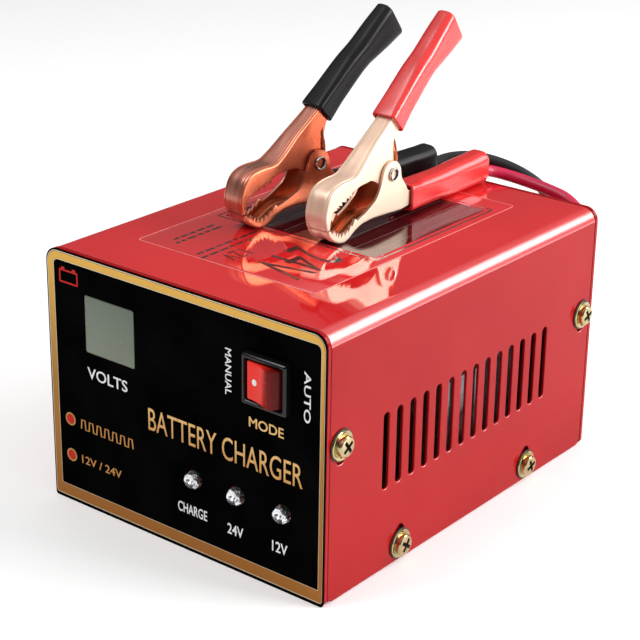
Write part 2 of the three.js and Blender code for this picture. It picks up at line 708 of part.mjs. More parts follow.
// A lofted solid through rounded sections
function loft(stations, grow, sides = 12) {
  const path = stations.map(([u, v]) => [u, v]);
  const normals = beside(path, 1).map(([u, v], i) => [u - path[i][0], v - path[i][1]]);
  const positions = [];
  stations.forEach(([u, v, halfWidth, halfDepth], i) => {
    for (let k = 0; k < sides; k += 1) {
      const angle = (2 * Math.PI * (k + 0.5)) / sides;
      const round = (value) => Math.sign(value) * Math.abs(value) ** 0.65;
      const across = (halfWidth + grow) * round(Math.cos(angle));
      const up = (halfDepth + grow) * round(Math.sin(angle));
      positions.push(across, u + normals[i][0] * up, v + normals[i][1] * up);
    }
  });
  const triangles = [];
  const last = (stations.length - 1) * sides;
  for (let i = 0; i < last; i += sides) {
    for (let k = 0; k < sides; k += 1) {
      const next = (k + 1) % sides;
      triangles.push(i + k, i + next, i + sides + k, i + next, i + sides + next, i + sides + k);
    }
  }
  for (let k = 1; k < sides - 1; k += 1) {
    triangles.push(0, k + 1, k, last, last + k, last + k + 1);
  }
  const geometry = new THREE.BufferGeometry();
  geometry.setAttribute('position', new THREE.Float32BufferAttribute(positions, 3));
  geometry.setIndex(triangles);
  return solid(geometry);
}

// A dipped vinyl sleeve with room for the steel handle
function grip(stations, handle, halfWidth) {
  const centre = handle.map(([u, v]) => [u, v]);
  const halves = handle.map((point) => point[2] + GAP);
  const room = outline([
    ...beside(centre, halves), ...beside(centre, halves.map((half) => -half)).reverse(),
  ]);
  const half = halfWidth + GAP;
  return cut(loft(stations, 0), prismX(room, -half, half));
}

function extended(points, back, forward) {
  const first = points[0];
  const second = points[1];
  const last = points[points.length - 1];
  const previous = points[points.length - 2];
  const lead = new THREE.Vector2(second[0] - first[0], second[1] - first[1]).setLength(back);
  const trail = new THREE.Vector2(last[0] - previous[0], last[1] - previous[1]).setLength(forward);
  return [
    [first[0] - lead.x, first[1] - lead.y, first[2]],
    ...points.slice(1, -1),
    [last[0] + trail.x, last[1] + trail.y, last[2]],
  ];
}

function upperGrip() {
  const handle = extended([UPPER_START, ...UPPER_HANDLE], 4, GAP);
  return grip(UPPER_GRIP, handle, 3.1);
}

function lowerGrip() {
  const handle = extended([LOWER_START, ...LOWER_HANDLE], 4, GAP);
  return grip(LOWER_GRIP, handle, 3.1);
}

function clampRivet() {
  const half = LOWER_PLAN[2][1] + GAP;
  const { radius, head, headThick, recess } = RIVET;
  const end = half + headThick;
  return alongX(turned([
    [0, -end + 1.2], [recess, -end + 1], [recess, -end], [head, -end + 0.2], [head, -half],
    [radius, -half], [radius, half], [head, half], [head, end - 0.2], [recess, end],
    [recess, end - 1], [0, end - 1.2],
  ], 12), 0, 0, 0);
}

// A torsion spring round the rivet, one leg on each handle
function clampSpring() {
  const { mean, wire, turns, pitch } = SPRING;
  const width = turns * pitch;
  const points = [[-width / 2, 8.6, -10.9], [-width / 2, 5.6, -7.4]];
  const steps = 26;
  const from = THREE.MathUtils.degToRad(-60);
  for (let i = 0; i <= steps; i += 1) {
    const angle = from - 2 * Math.PI * turns * (i / steps);
    const w = width * (i / steps - 0.5);
    points.push([w, mean * Math.cos(angle), mean * Math.sin(angle)]);
  }
  points.push([width / 2, -2.2, 7.8], [width / 2, -1.4, 12.2]);
  return tube(points, wire, 6, 48);
}

function addClamp(colour, look) {
  const { x, y, yaw } = CLAMPS[colour];
  const holder = new THREE.Group();
  holder.position.set(x, y, CLAMP_HEIGHT);
  holder.rotation.z = THREE.MathUtils.degToRad(yaw);
  charger.add(holder);
  piece(`${colour}_clamp_upper_jaw`, upperJaw(), COPPER, holder);
  piece(`${colour}_clamp_lower_jaw`, lowerJaw(), COPPER, holder);
  piece(`${colour}_clamp_rivet`, clampRivet(), STEEL, holder);
  piece(`${colour}_clamp_spring`, clampSpring(), STEEL, holder);
  piece(`${colour}_clamp_upper_grip`, upperGrip(), look, holder);
  piece(`${colour}_clamp_lower_grip`, lowerGrip(), look, holder);
}

// ---- Leads -------------------------------------------------------------------------

function leadRun(points) {
  const length = new THREE.CatmullRomCurve3(points.map((p) => new THREE.Vector3(...p))).getLength();
  return tube(points, LEAD_RADIUS, LEAD_SIDES, Math.round(length / LEAD_STEP));
}

function leadCoil(bottom) {
  const { x, y, inner, outer, height } = COIL;
  const corner = 1.6;
  const profile = [
    [inner, corner], [inner + corner, 0], [outer - corner, 0], [outer, corner],
    [outer, height - corner], [outer - corner, height], [inner + corner, height],
    [inner, height - corner], [inner, corner],
  ];
  return alongZ(turned(profile, 28), x, y, bottom);
}

function addLeads() {
  piece('red_lead_from_case', leadRun(RED_OUT), RED_CORD);
  piece('red_lead_coil', leadCoil(0.1), RED_CORD);
  piece('red_lead_to_clamp', leadRun(RED_UP), RED_CORD);
  piece('black_lead_from_case', leadRun(BLACK_OUT), BLACK_VINYL);
  piece('black_lead_coil', leadCoil(COIL.height + 0.1 + GAP), BLACK_VINYL);
  piece('black_lead_to_clamp', leadRun(BLACK_UP), BLACK_VINYL);
}

addCase();
addFrontPieces();
addInside();
addRearPieces();
addClamp('red', RED_VINYL);
addClamp('black', BLACK_VINYL);
addLeads();

export default charger;
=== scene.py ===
"""A small car battery charger: a red sheet-steel case, a black control panel, and two leads with
sprung clamps that are parked on top of it. Shapes are written in millimetres and placed in metres.
"""

import contextlib
import math
import random

import bmesh
import bpy
from mathutils import Matrix, Vector


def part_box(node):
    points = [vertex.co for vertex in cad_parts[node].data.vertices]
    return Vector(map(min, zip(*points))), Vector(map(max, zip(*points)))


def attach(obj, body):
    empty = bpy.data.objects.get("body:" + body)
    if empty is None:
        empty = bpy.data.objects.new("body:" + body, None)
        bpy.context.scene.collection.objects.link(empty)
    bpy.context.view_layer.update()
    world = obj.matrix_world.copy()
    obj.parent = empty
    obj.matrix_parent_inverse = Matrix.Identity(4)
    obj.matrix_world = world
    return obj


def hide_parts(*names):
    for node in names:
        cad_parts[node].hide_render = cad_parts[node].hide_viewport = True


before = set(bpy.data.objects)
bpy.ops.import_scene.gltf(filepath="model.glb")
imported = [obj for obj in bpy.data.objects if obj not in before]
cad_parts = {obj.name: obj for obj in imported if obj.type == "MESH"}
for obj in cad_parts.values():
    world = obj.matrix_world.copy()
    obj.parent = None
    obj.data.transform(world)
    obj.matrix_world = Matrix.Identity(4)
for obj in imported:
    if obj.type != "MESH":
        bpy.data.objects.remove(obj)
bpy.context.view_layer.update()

MM = 0.001

# ---- Driving dimensions, in millimetres, as on the CAD model

CASE_LOW, CASE_HIGH = (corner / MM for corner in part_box("chassis"))
HALF = CASE_HIGH.x
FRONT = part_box("front_label")[0].y / MM
REAR = CASE_HIGH.y
HEIGHT = CASE_HIGH.z
LABEL_THICK = 0.4
COVER_LOW, COVER_HIGH = (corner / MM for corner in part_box("top_cover"))
SHEET = 1.0
BEND = 5.0
BEND_RADIUS = BEND - SHEET / 2  # of the middle of the sheet
BEND_ARC = BEND_RADIUS * math.pi / 2
TOP_FLAT = HALF - BEND
COVER_CORNER = 2.5
SLOT = {"count": 14, "first": -42.5, "pitch": 6.51, "half": 1.45, "low": 27.2, "high": 52.2}
SCREW_PLACES = {
    "front_upper": (-64, 49.8, -1), "rear_upper": (64.5, 49.8, -1),
    "front_lower": (-34.3, 6, 1), "rear_lower": (34.7, 6, 1),
}
SCREW_SLOT = {"half": 2.1, "reach": 6.3}
WINDOW = (-39.3, 53.7, -18.3, 72.9)
SWITCH = (34.1, 65.1)
ROCKER_PIVOT_Y = FRONT + 0.75
LAMPS = {"lamp_charging": (5.4, 25.2), "lamp_24v": (22.2, 25.4), "lamp_12v": (39.8, 25.5)}
LAMP_RADIUS = 2.8
LAMP_LENGTH = 6.6
LAMP_SEAT = 3.3  # how far behind the panel a lamp starts
GLAND = (-36, 26)
GROMMETS = {"black": (14, 30), "red": (27, 30)}

LEAD_RADIUS = 2.0
LEAD_STEP = 1.6  # between the points of a lead's line
TIE_ANGLES = {"coil_tie_left": 200, "coil_tie_rear": 75}
COIL = {"x": -14, "y": 106, "floor": 0.15, "layer": 8.6}
RED_OUT = [
    (27, 76.3, 30), (26.9, 81, 29.6), (26, 87, 26), (23.5, 92, 19), (19.6, 96.5, 11),
    (16.4, 100, 6), (14.8, 104.5, 4),
]
RED_UP = [
    (-14, 77.2, 4.2), (-4, 77.3, 3.4), (8, 78, 2.4), (22, 78.6, 2.4), (33, 78.4, 2.5),
    (41, 78.3, 6), (45.4, 78.3, 15), (46, 78.3, 32), (46, 78.3, 52), (46, 78.4, 68),
    (44.4, 78.7, 77.3), (38.5, 79.2, 82.2), (30.6, 79.6, 83.9), (22.5, 79.4, 85),
    (15, 77.9, 86.2), (10.6, 74.4, 87.6), (9, 70.3, 88.6), (8.9, 67, 89),
]
BLACK_OUT = [
    (14, 76.3, 30), (14, 81, 29.7), (13.9, 87, 27.2), (14.2, 93.5, 22), (14.6, 99, 17),
    (14.8, 104.5, 13.4),
]
BLACK_UP = [
    (-14, 77.2, 13), (-3, 77.6, 13), (8, 79.4, 12), (19, 82.6, 11.4), (28, 85.6, 15.5),
    (32.4, 87.7, 26), (33, 88.4, 42), (32.4, 88.2, 58), (30, 87.2, 72), (25.4, 85.4, 80.8),
    (18.4, 82.8, 86), (9.6, 79.2, 89.4), (1.4, 75.4, 90.6), (-4.6, 70.8, 90), (-7.7, 64.5, 88.6),
    (-8.3, 61, 88.9),
]

LEAD_PARTS = ["from_case", "coil", "to_clamp"]
CLAMPS = {"red": (9, 13.4, 0), "black": (-15.6, 8.1, -8)}
CLAMP_HEIGHT = 101.8

CAMERA_PLACE = (0.3364, -0.4284, 0.2766)
CAMERA_AZIMUTH = 38.476
CAMERA_ELEVATION = 22.328
CAMERA_ROLL = 0.908
CAMERA_LENS = 102.8


# ---- Camera

def add_camera():
    azimuth, elevation, roll = (
        math.radians(a) for a in (CAMERA_AZIMUTH, CAMERA_ELEVATION, CAMERA_ROLL))
    level = Vector((math.sin(azimuth), -math.cos(azimuth), 0))
    back = level * math.cos(elevation) + Vector((0, 0, math.sin(elevation)))
    right = Vector((math.cos(azimuth), math.sin(azimuth), 0))
    up = back.cross(right)
    x_axis = right * math.cos(roll) + up * math.sin(roll)
    y_axis = up * math.cos(roll) - right * math.sin(roll)
    data = bpy.data.cameras.new("camera")
    data.lens = CAMERA_LENS
    data.sensor_width = 36
    data.clip_start = 0.01
    camera = bpy.data.objects.new("camera", data)
    bpy.context.scene.collection.objects.link(camera)
    camera.matrix_world = Matrix((x_axis, y_axis, back)).transposed().to_4x4()
    camera.location = CAMERA_PLACE
    bpy.context.scene.camera = camera


# ---- Materials

def fill(node, values):
    """Sets a node's input sockets by name, with underscores for spaces."""
    for socket, value in values.items():
        node.inputs[socket.replace("_", " ")].default_value = value


def new_node(tree, kind, **values):
    node = tree.nodes.new(f"ShaderNode{kind}")
    fill(node, values)
    return node


def node_look(name):
    """A new material and its node tree, with a Principled shader and object coordinates."""
    look = bpy.data.materials.new(name)
    look.use_nodes = True
    tree = look.node_tree
    return look, tree, tree.nodes["Principled BSDF"], new_node(tree, "TexCoord").outputs["Object"]


def noise_node(tree, place, scale, detail=3.0, stretch=(1, 1, 1)):
    mapping = new_node(tree, "Mapping", Scale=stretch)
    tree.links.new(place, mapping.inputs["Vector"])
    noise = new_node(tree, "TexNoise", Scale=scale, Detail=detail)
    tree.links.new(mapping.outputs["Vector"], noise.inputs["Vector"])
    return noise.outputs["Fac"]


def axis_node(tree, vector, axis="Z"):
    """One coordinate of a vector."""
    split = new_node(tree, "SeparateXYZ")
    tree.links.new(vector, split.inputs["Vector"])
    return split.outputs[axis]


def ramp_node(tree, factor, stops):
    ramp = new_node(tree, "ValToRGB")
    elements = ramp.color_ramp.elements
    while len(elements) < len(stops):
        elements.new(0.5)
    for element, (at, colour) in zip(elements, stops):
        element.position = at
        element.color = (*colour, 1)
    tree.links.new(factor, ramp.inputs["Fac"])
    return ramp.outputs["Color"]


def range_node(tree, value, low, high, start=0.3, end=0.7):
    node = new_node(tree, "MapRange", From_Min=start, From_Max=end, To_Min=low, To_Max=high)
    tree.links.new(value, node.inputs["Value"])
    return node.outputs["Result"]


def bump_node(tree, shader, height, depth):
    bump = new_node(tree, "Bump", Distance=depth * MM, Strength=1.0)
    tree.links.new(height, bump.inputs["Height"])
    tree.links.new(bump.outputs["Normal"], shader.inputs["Normal"])


def colour_by(tree, shader, factor, stops):
    tree.links.new(ramp_node(tree, factor, stops), shader.inputs["Base Color"])


def roughen_by(tree, shader, factor, rough):
    tree.links.new(range_node(tree, factor, *rough), shader.inputs["Roughness"])


def surface(name, colours, rough, patch=60, grain=900, depth=0.01, stretch=(1, 1, 1), **sockets):
    """A material whose colour and roughness drift over patches, with a fine grain in its surface."""
    look, tree, shader, place = node_look(name)
    drift = noise_node(tree, place, patch, 3, stretch)
    share = 0.4 / (len(colours) - 1)
    colour_by(tree, shader, drift, [(0.3 + share * i, c) for i, c in enumerate(colours)])
    roughen_by(tree, shader, drift, rough)
    bump_node(tree, shader, noise_node(tree, place, grain, 2, stretch), depth)
    fill(shader, sockets)
    return look


def graded(name, axis, low, high, colours, rough, **sockets):
    """A material whose colour changes along one axis of the row frame, with a little noise."""
    look, tree, shader, place = node_look(name)
    along = range_node(tree, axis_node(tree, place, axis), 0, 1, low * MM, high * MM)
    share = 1 / (len(colours) - 1)
    colour_by(tree, shader, along, [(share * i, c) for i, c in enumerate(colours)])
    roughen_by(tree, shader, noise_node(tree, place, 150), rough)
    fill(shader, sockets)
    return look


def wound_look(name):
    """Enamelled wire that is wound in layers: ridges across the winding."""
    look, tree, shader, place = node_look(name)
    wave = new_node(tree, "TexWave", Scale=400)
    wave.bands_direction = "Z"
    tree.links.new(place, wave.inputs["Vector"])
    tones = [(0.2, (0.16, 0.05, 0.01)), (0.8, (0.62, 0.28, 0.07))]
    colour_by(tree, shader, wave.outputs["Fac"], tones)
    fill(shader, {"Metallic": 0.4, "Roughness": 0.35})
    bump_node(tree, shader, wave.outputs["Fac"], 0.2)
    return look


def clear_look(name):
    """Clear moulded lamp plastic, with faint waves from its mould."""
    look, tree, shader, place = node_look(name)
    fill(shader, {"Base_Color": (0.97, 0.98, 1, 1), "Transmission_Weight": 1, "IOR": 1.5})
    waves = noise_node(tree, place, 500, 2)
    roughen_by(tree, shader, waves, (0.01, 0.05))
    bump_node(tree, shader, waves, 0.15)
    return look


def paint_look(name, deep, pale, mirror, blur=0.035, coat=1.0):
    """Gloss enamel on steel: drifting red, orange peel, and a clear coat that mirrors."""
    look, tree, shader, place = node_look(name)
    colour_by(tree, shader, noise_node(tree, place, 22, 4), [(0.3, deep), (0.7, pale)])
    roughen_by(tree, shader, noise_node(tree, place, 160, 2), (0.28, 0.4))
    fill(shader, {"Specular_IOR_Level": 0, "Coat_IOR": mirror})
    fill(shader, {"Coat_Weight": coat, "Coat_Roughness": blur})
    bump_node(tree, shader, noise_node(tree, place, 420, 2), 0.012)
    return look


MATT = {"Specular_IOR_Level": 0}
DULL = {"Specular_IOR_Level": 0.1}
METAL = {"Metallic": 1}
BRUSHED = {"patch": 70, "grain": 160, "depth": 0.02, "stretch": (9, 1, 1)}
DIPPED = {"patch": 80, "grain": 500, "depth": 0.03}
DRAWN = {"patch": 90, "grain": 700, "depth": 0.02}

# Enamels, as (deep red, pale red, the coat's index, its blur, its weight). They are copies of one
# red enamel that paint light: the sides' copy is darker, as painted shade; the top's is lighter
# with a stronger mirror coat, as painted light; the bends' is a painted highlight; and the
# sticker film takes the top's lit red.
PAINTS = {
    "red_paint": ((0.29, 0.005, 0.007), (0.35, 0.009, 0.010), 1.4, 0.035, 0.48),
    "top_paint_lit": ((0.62, 0.013, 0.016), (0.70, 0.02, 0.022), 2.6),
    "bend_paint_highlight": ((0.52, 0.012, 0.014), (0.60, 0.018, 0.02), 2.4, 0.24),
    "film": ((0.66, 0.014, 0.017), (0.74, 0.021, 0.024), 3.2),
}

# Colours along an axis, as (axis, from, to, colours, range of roughness, sockets)
GRADED = {
    "gold": (
        "Z", 0, 85, [(0.36, 0.13, 0.02), (0.42, 0.19, 0.035), (0.80, 0.46, 0.09)], (0.3, 0.45), DULL),
    "pale_gold": ("Z", 0, 85, [(0.6, 0.42, 0.24), (0.85, 0.7, 0.5)], (0.3, 0.45), {}),
    "title_gold": ("Z", 33, 45, [(0.55, 0.25, 0.07), (0.84, 0.52, 0.2)], (0.35, 0.5), DULL),
    "display_glass": (
        "Z", 53, 73, [(0.19, 0.22, 0.16), (0.13, 0.155, 0.12)], (0.16, 0.3),
        {"Specular_IOR_Level": 0.3}),
    # The rocker's red darkens to near black towards its right end: painted shade on the wall turned
    # from the light.
    "rocker_red": (
        "X", 27, 41, [
            (0.86, 0.04, 0.03), (0.84, 0.03, 0.018), (0.8, 0.026, 0.014), (0.2, 0.006, 0.004),
            (0.05, 0.002, 0.002)],
        (0.2, 0.3), {"Specular_IOR_Level": 0.15}),
}

# Patchy colours, as (colours, range of roughness, the rest of surface's values)
SURFACES = {
    "panel_black": ([(0.001, 0.001, 0.001), (0.003, 0.003, 0.003)], (0.3, 0.42), MATT),
    "white_print": ([(0.72, 0.74, 0.76), (0.86, 0.87, 0.88)], (0.4, 0.55), {"patch": 400}),
    "red_print": (
        [(0.50, 0.010, 0.010), (0.62, 0.02, 0.015)], (0.35, 0.5), {"patch": 500, **DULL}),
    "dark_print": (
        [(0.03, 0.006, 0.008), (0.055, 0.014, 0.016)], (0.3, 0.4),
        {"patch": 300, "Coat_Weight": 1.0, "Coat_Roughness": 0.05}),
    "table_print": (
        [(0.05, 0.004, 0.006), (0.08, 0.006, 0.008)], (0.3, 0.4),
        {"patch": 200, **MATT, "Coat_Weight": 1.0, "Coat_Roughness": 0.04}),
    # A pale pink line along the sticker film's edge: a painted highlight.
    "film_edge_highlight": ([(0.8, 0.25, 0.24), (0.88, 0.38, 0.36)], (0.25, 0.4), {"patch": 300}),
    "black_plastic": (
        [(0.004, 0.004, 0.005), (0.008, 0.008, 0.009)], (0.1, 0.2),
        {"patch": 120, "grain": 2600, "Specular_IOR_Level": 0.35}),
    "lamp_metal": ([(0.75, 0.76, 0.78), (0.9, 0.9, 0.92)], (0.08, 0.2), {"patch": 900, **METAL}),
    "zinc_yellow": (
        [(0.50, 0.37, 0.15), (0.44, 0.38, 0.19), (0.56, 0.41, 0.25)], (0.1, 0.22),
        {"patch": 240, "grain": 1500, **METAL}),
    "circuit_green": ([(0.01, 0.10, 0.035), (0.02, 0.17, 0.05)], (0.35, 0.5), {"patch": 90}),
    "nylon": ([(0.68, 0.66, 0.58), (0.78, 0.76, 0.68)], (0.4, 0.55), {}),
    # Near black: shade painted into a screw's recess, under its flange and into a rivet's bore.
    "painted_shade_dark": ([(0.012, 0.008, 0.005), (0.03, 0.02, 0.012)], (0.4, 0.6), {"patch": 300}),
    "ferrite": ([(0.03, 0.03, 0.032), (0.06, 0.06, 0.064)], (0.55, 0.75), {"depth": 0.05}),
    "aluminium": (
        [(0.55, 0.56, 0.58), (0.68, 0.69, 0.71)], (0.3, 0.45), {"stretch": (1, 1, 8), **METAL}),
    "grommet_rubber": (
        [(0.012, 0.012, 0.013), (0.022, 0.022, 0.024)], (0.5, 0.65), {"depth": 0.03}),
    # One copper plate in copies that paint light: the red clamp's is pale and the black clamp's deep,
    # as each reflects its surroundings, and each spine has its own copy as its faces are lit.
    "copper_red": (
        [(0.90, 0.71, 0.53), (0.95, 0.78, 0.60)], (0.3, 0.42), {"Metallic": 0.3, **BRUSHED}),
    "copper_red_spine_painted_light": (
        [(0.77, 0.51, 0.37), (0.84, 0.58, 0.44)], (0.3, 0.42), {"Metallic": 0.3, **BRUSHED}),
    "copper_black": (
        [(0.60, 0.13, 0.055), (0.72, 0.21, 0.11)], (0.24, 0.36), {"Metallic": 0.85, **BRUSHED}),
    "copper_black_spine_painted_light": (
        [(0.55, 0.20, 0.14), (0.63, 0.27, 0.20)], (0.24, 0.36), {"Metallic": 0.85, **BRUSHED}),
    # The inside of the jaws: the same copper, darker and redder as painted shade.
    "copper_inside_painted_shade": (
        [(0.50, 0.10, 0.03), (0.66, 0.19, 0.07)], (0.22, 0.36), {"Metallic": 0.7, **BRUSHED}),
    "steel": ([(0.62, 0.62, 0.64), (0.78, 0.77, 0.77)], (0.15, 0.3), {"patch": 300, **METAL}),
    "vinyl_red": (
        [(0.66, 0.012, 0.012), (0.76, 0.022, 0.02)], (0.24, 0.36),
        {**DIPPED, "Coat_Weight": 0.5, "Coat_Roughness": 0.2}),
    "vinyl_black": (
        [(0.003, 0.003, 0.004), (0.008, 0.008, 0.009)], (0.3, 0.42),
        {**DIPPED, "Specular_IOR_Level": 0.2}),
    "lead_red": ([(0.46, 0.006, 0.05), (0.56, 0.012, 0.07)], (0.3, 0.42), DRAWN),
    "lead_black": ([(0.006, 0.006, 0.007), (0.013, 0.013, 0.015)], (0.32, 0.45), DRAWN),
}

LOOKS = {"lamp_clear": clear_look("lamp_clear"), "winding": wound_look("winding")}
for look_name, values in PAINTS.items():
    LOOKS[look_name] = paint_look(look_name, *values)
for look_name, (*values, extra) in GRADED.items():
    LOOKS[look_name] = graded(look_name, *values, **extra)
for look_name, (*values, extra) in SURFACES.items():
    LOOKS[look_name] = surface(look_name, *values, **extra)


# ---- Mesh tools

def rotation(degrees, axis="Z"):
    return Matrix.Rotation(math.radians(degrees), 4, axis)


def shift(x, y, z):
    """A move by that many millimetres."""
    return Matrix.Translation(Vector((x, y, z)) * MM)


def link(name, data):
    obj = bpy.data.objects.new(name, data)
    bpy.context.scene.collection.objects.link(obj)
    return obj


def settle(obj, look, stands_for=(), smooth=30, body="case", second=None):
    """Gives a finished piece its material, shading and body. Where there is a second
    material, the mesh already says which faces take it."""
    data = obj.data
    chosen = [face.material_index for face in data.polygons] if second else None
    data.materials.clear()
    data.materials.append(LOOKS[look])
    if obj.type == "MESH":
        data.shade_smooth()
        data.set_sharp_from_angle(angle=math.radians(smooth))
    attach(obj, body)
    if stands_for:
        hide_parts(*stands_for)
    if second:
        data.materials.append(LOOKS[second])
        data.polygons.foreach_set("material_index", chosen)
    return obj


def repaint(obj, look, fits):
    """Gives another material to those faces of the first one whose normal fits."""
    obj.data.materials.append(LOOKS[look])
    index = len(obj.data.materials) - 1
    for face in obj.data.polygons:
        if face.material_index == 0 and fits(face.normal):
            face.material_index = index


@contextlib.contextmanager
def edited(mesh):
    """The mesh as a bmesh, which is written back at the end."""
    work = bmesh.new()
    work.from_mesh(mesh)
    yield work
    work.to_mesh(mesh)
    work.free()


def merge(work, distance):
    bmesh.ops.remove_doubles(work, verts=work.verts, dist=distance)


def placed(mesh, place, join=1e-4):
    """Merges double points, moves each point by place and into metres, and turns the faces
    outwards."""
    with edited(mesh) as work:
        merge(work, join)
        for vert in work.verts:
            vert.co = place(vert.co) * MM
        bmesh.ops.recalc_face_normals(work, faces=work.faces)
    return mesh


def mesh_of(name, points, faces, scale=MM):
    mesh = bpy.data.meshes.new(name)
    mesh.from_pydata([Vector(p) * scale for p in points], [], faces)
    with edited(mesh) as work:
        bmesh.ops.recalc_face_normals(work, faces=work.faces)
    return mesh


def evaluated(obj):
    """A new mesh of the object, as its modifiers or its curve make it."""
    depsgraph = bpy.context.evaluated_depsgraph_get()
    return bpy.data.meshes.new_from_object(obj.evaluated_get(depsgraph))


def modified(obj, kind, **values):
    """Applies one modifier with those values."""
    modifier = obj.modifiers.new(kind, kind)
    for name, value in values.items():
        setattr(modifier, name, value)
    mesh = evaluated(obj)
    obj.modifiers.clear()
    obj.data = mesh
    return obj


def levelled(obj):
    """Evens out the shading of large flat faces that end in rounded edges."""
    return modified(obj, "WEIGHTED_NORMAL", keep_sharp=True)


def bevelled(obj, width, segments=2, angle=35):
    return modified(
        obj, "BEVEL", width=width * MM, segments=segments, limit_method="ANGLE",
        angle_limit=math.radians(angle), use_clamp_overlap=True)


def mesh_from(name, curve):
    """The mesh that a curve makes; the curve is removed."""
    holder = link(name, curve)
    mesh = evaluated(holder)
    bpy.data.objects.remove(holder)
    bpy.data.curves.remove(curve)
    return mesh


def add_spline(curve, points, closed=False):
    """Adds a line through points of (x, y, z) to a curve."""
    spline = curve.splines.new("POLY")
    spline.points.add(len(points) - 1)
    for point, place in zip(spline.points, points):
        point.co = (*place, 1)
    spline.use_cyclic_u = closed


def plate_mesh(name, loops, thick, edge, arc=2):
    """A flat plate with rounded edges. The first loop is its outline and the others are holes.
    It lies in XY about z = 0, in millimetres."""
    curve = bpy.data.curves.new(name, "CURVE")
    curve.dimensions = "2D"
    curve.fill_mode = "BOTH"
    curve.extrude = thick / 2 - edge
    curve.bevel_depth = edge
    curve.bevel_resolution = arc
    curve.offset = -edge
    for loop in loops:
        add_spline(curve, [(x, y, 0) for x, y in loop], True)
    return mesh_from(name, curve)


def tube(name, points, radius, arc):
    """A round wire along points in millimetres."""
    curve = bpy.data.curves.new(name, "CURVE")
    curve.dimensions = "3D"
    curve.bevel_depth = radius * MM
    curve.bevel_resolution = arc
    curve.use_fill_caps = True
    add_spline(curve, [Vector(point) * MM for point in points])
    return link(name, curve)


def rounded_rect(left, bottom, right, top, radii, steps=8):
    """Corner radii run from the lower left, counter-clockwise."""
    corners = [(left, bottom, 180), (right, bottom, 270), (right, top, 0), (left, top, 90)]
    points = []
    for (x, y, start), radius in zip(corners, radii):
        cx = x + radius if x == left else x - radius
        cy = y + radius if y == bottom else y - radius
        for i in range(steps + 1):
            angle = math.radians(start + 90 * i / steps)
            points.append((cx + radius * math.cos(angle), cy + radius * math.sin(angle)))
    return points


def slab(x, y, wide, tall, radius, steps=4):
    """A rounded rectangle about a middle, from its half width and half height."""
    return rounded_rect(x - wide, y - tall, x + wide, y + tall, [radius] * 4, steps)


def disc(x, y, radius, steps=32):
    angles = (2 * math.pi * i / steps for i in range(steps))
    return [(x + radius * math.cos(a), y + radius * math.sin(a)) for a in angles]


def grid_faces(rows, columns, closed=False, looped=False):
    """Quads between rows of points. Closed joins each row's ends, and looped the last row to the
    first."""
    faces = []
    for i in range(rows if looped else rows - 1):
        low, high = i * columns, (i + 1) % rows * columns
        for j in range(columns if closed else columns - 1):
            k = (j + 1) % columns
            faces.append((low + j, low + k, high + k, high + j))
    return faces


def lofted(name, rings, looped=False):
    """A skin over rings of equal point count, in millimetres, that ends in flat caps or joins its
    last ring to its first."""
    count = len(rings[0])
    faces = grid_faces(len(rings), count, True, looped)
    if not looped:
        last = (len(rings) - 1) * count
        faces += [tuple(range(count)), tuple(range(last, last + count))]
    return link(name, mesh_of(name, [p for ring in rings for p in ring], faces))


def turned(profile, sides):
    """The rings of points that a profile of (radius, height) makes about the z axis."""
    return [[(x, y, height) for x, y in disc(0, 0, radius, sides)] for radius, height in profile]


def lathe_mesh(name, profile, sides=40):
    """Turns a profile about the z axis; it starts and ends on the axis."""
    inner = profile[1:-1]
    points = sum(turned(inner, sides), [])
    faces = grid_faces(len(inner), sides, True)
    first, last = len(points), len(points) + 1
    points += [(0, 0, profile[0][1]), (0, 0, profile[-1][1])]
    end = (len(inner) - 1) * sides
    for j in range(sides):
        k = (j + 1) % sides
        faces += [(first, k, j), (last, end + j, end + k)]
    return mesh_of(name, points, faces)


def aside(along):
    """The direction a quarter turn to the left."""
    return Vector((-along.y, along.x))


def catmull(points, t):
    """A point at t, from 0 to len(points) - 1, on the Catmull-Rom curve through points."""
    last = len(points) - 1
    i = min(int(t), last - 1)
    f = t - i
    p1, p2 = points[i], points[i + 1]
    p0 = points[i - 1] if i else [2 * a - b for a, b in zip(p1, p2)]
    p3 = points[i + 2] if i + 2 <= last else [2 * b - a for a, b in zip(p1, p2)]
    return [
        0.5 * (2 * b + (c - a) * f + (2 * a - 5 * b + 4 * c - d) * f * f
               + (3 * b - a - 3 * c + d) * f ** 3)
        for a, b, c, d in zip(p0, p1, p2, p3)
    ]


def smooth_path(points, step):
    """Points every step or so along the curve through points."""
    path = []
    for i in range(len(points) - 1):
        span = math.dist(points[i], points[i + 1])
        count = max(1, round(span / step))
        path += [catmull(points, i + k / count) for k in range(count)]
    return path + [list(points[-1])]


def ribbon(points, width):
    """The outline of a stroke of that width along points."""
    left, right = [], []
    for i, point in enumerate(points):
        before = Vector(points[max(i - 1, 0)])
        after = Vector(points[min(i + 1, len(points) - 1)])
        along = (after - before).normalized()
        side = aside(along) * width / 2
        left.append(tuple(Vector(point) + side))
        right.append(tuple(Vector(point) - side))
    return left + right[::-1]


# ---- Leads

def ease(t):
    t = min(max(t, 0), 1)
    return t * t * (3 - 2 * t)


def keyed(angle, keys):
    """A value that passes smoothly from key to key, each one (angle, value)."""
    for (a, x), (b, y) in zip(keys, keys[1:]):
        if angle <= b:
            return x + (y - x) * ease((angle - a) / (b - a))
    return keys[-1][1]


OUTER_TURN, INNER_TURN, TOP_TURN = 24.35, 20.2, 22.3
COIL_FLAT, COIL_HUMP, COIL_TOP = 2.0, 6.1, 5.55
TURN_RADIUS = [
    (-3, 28.84), (55, OUTER_TURN), (290, OUTER_TURN), (355, INNER_TURN), (590, INNER_TURN),
    (640, TOP_TURN), (905, TOP_TURN), (935, OUTER_TURN), (990, 28.8),
]


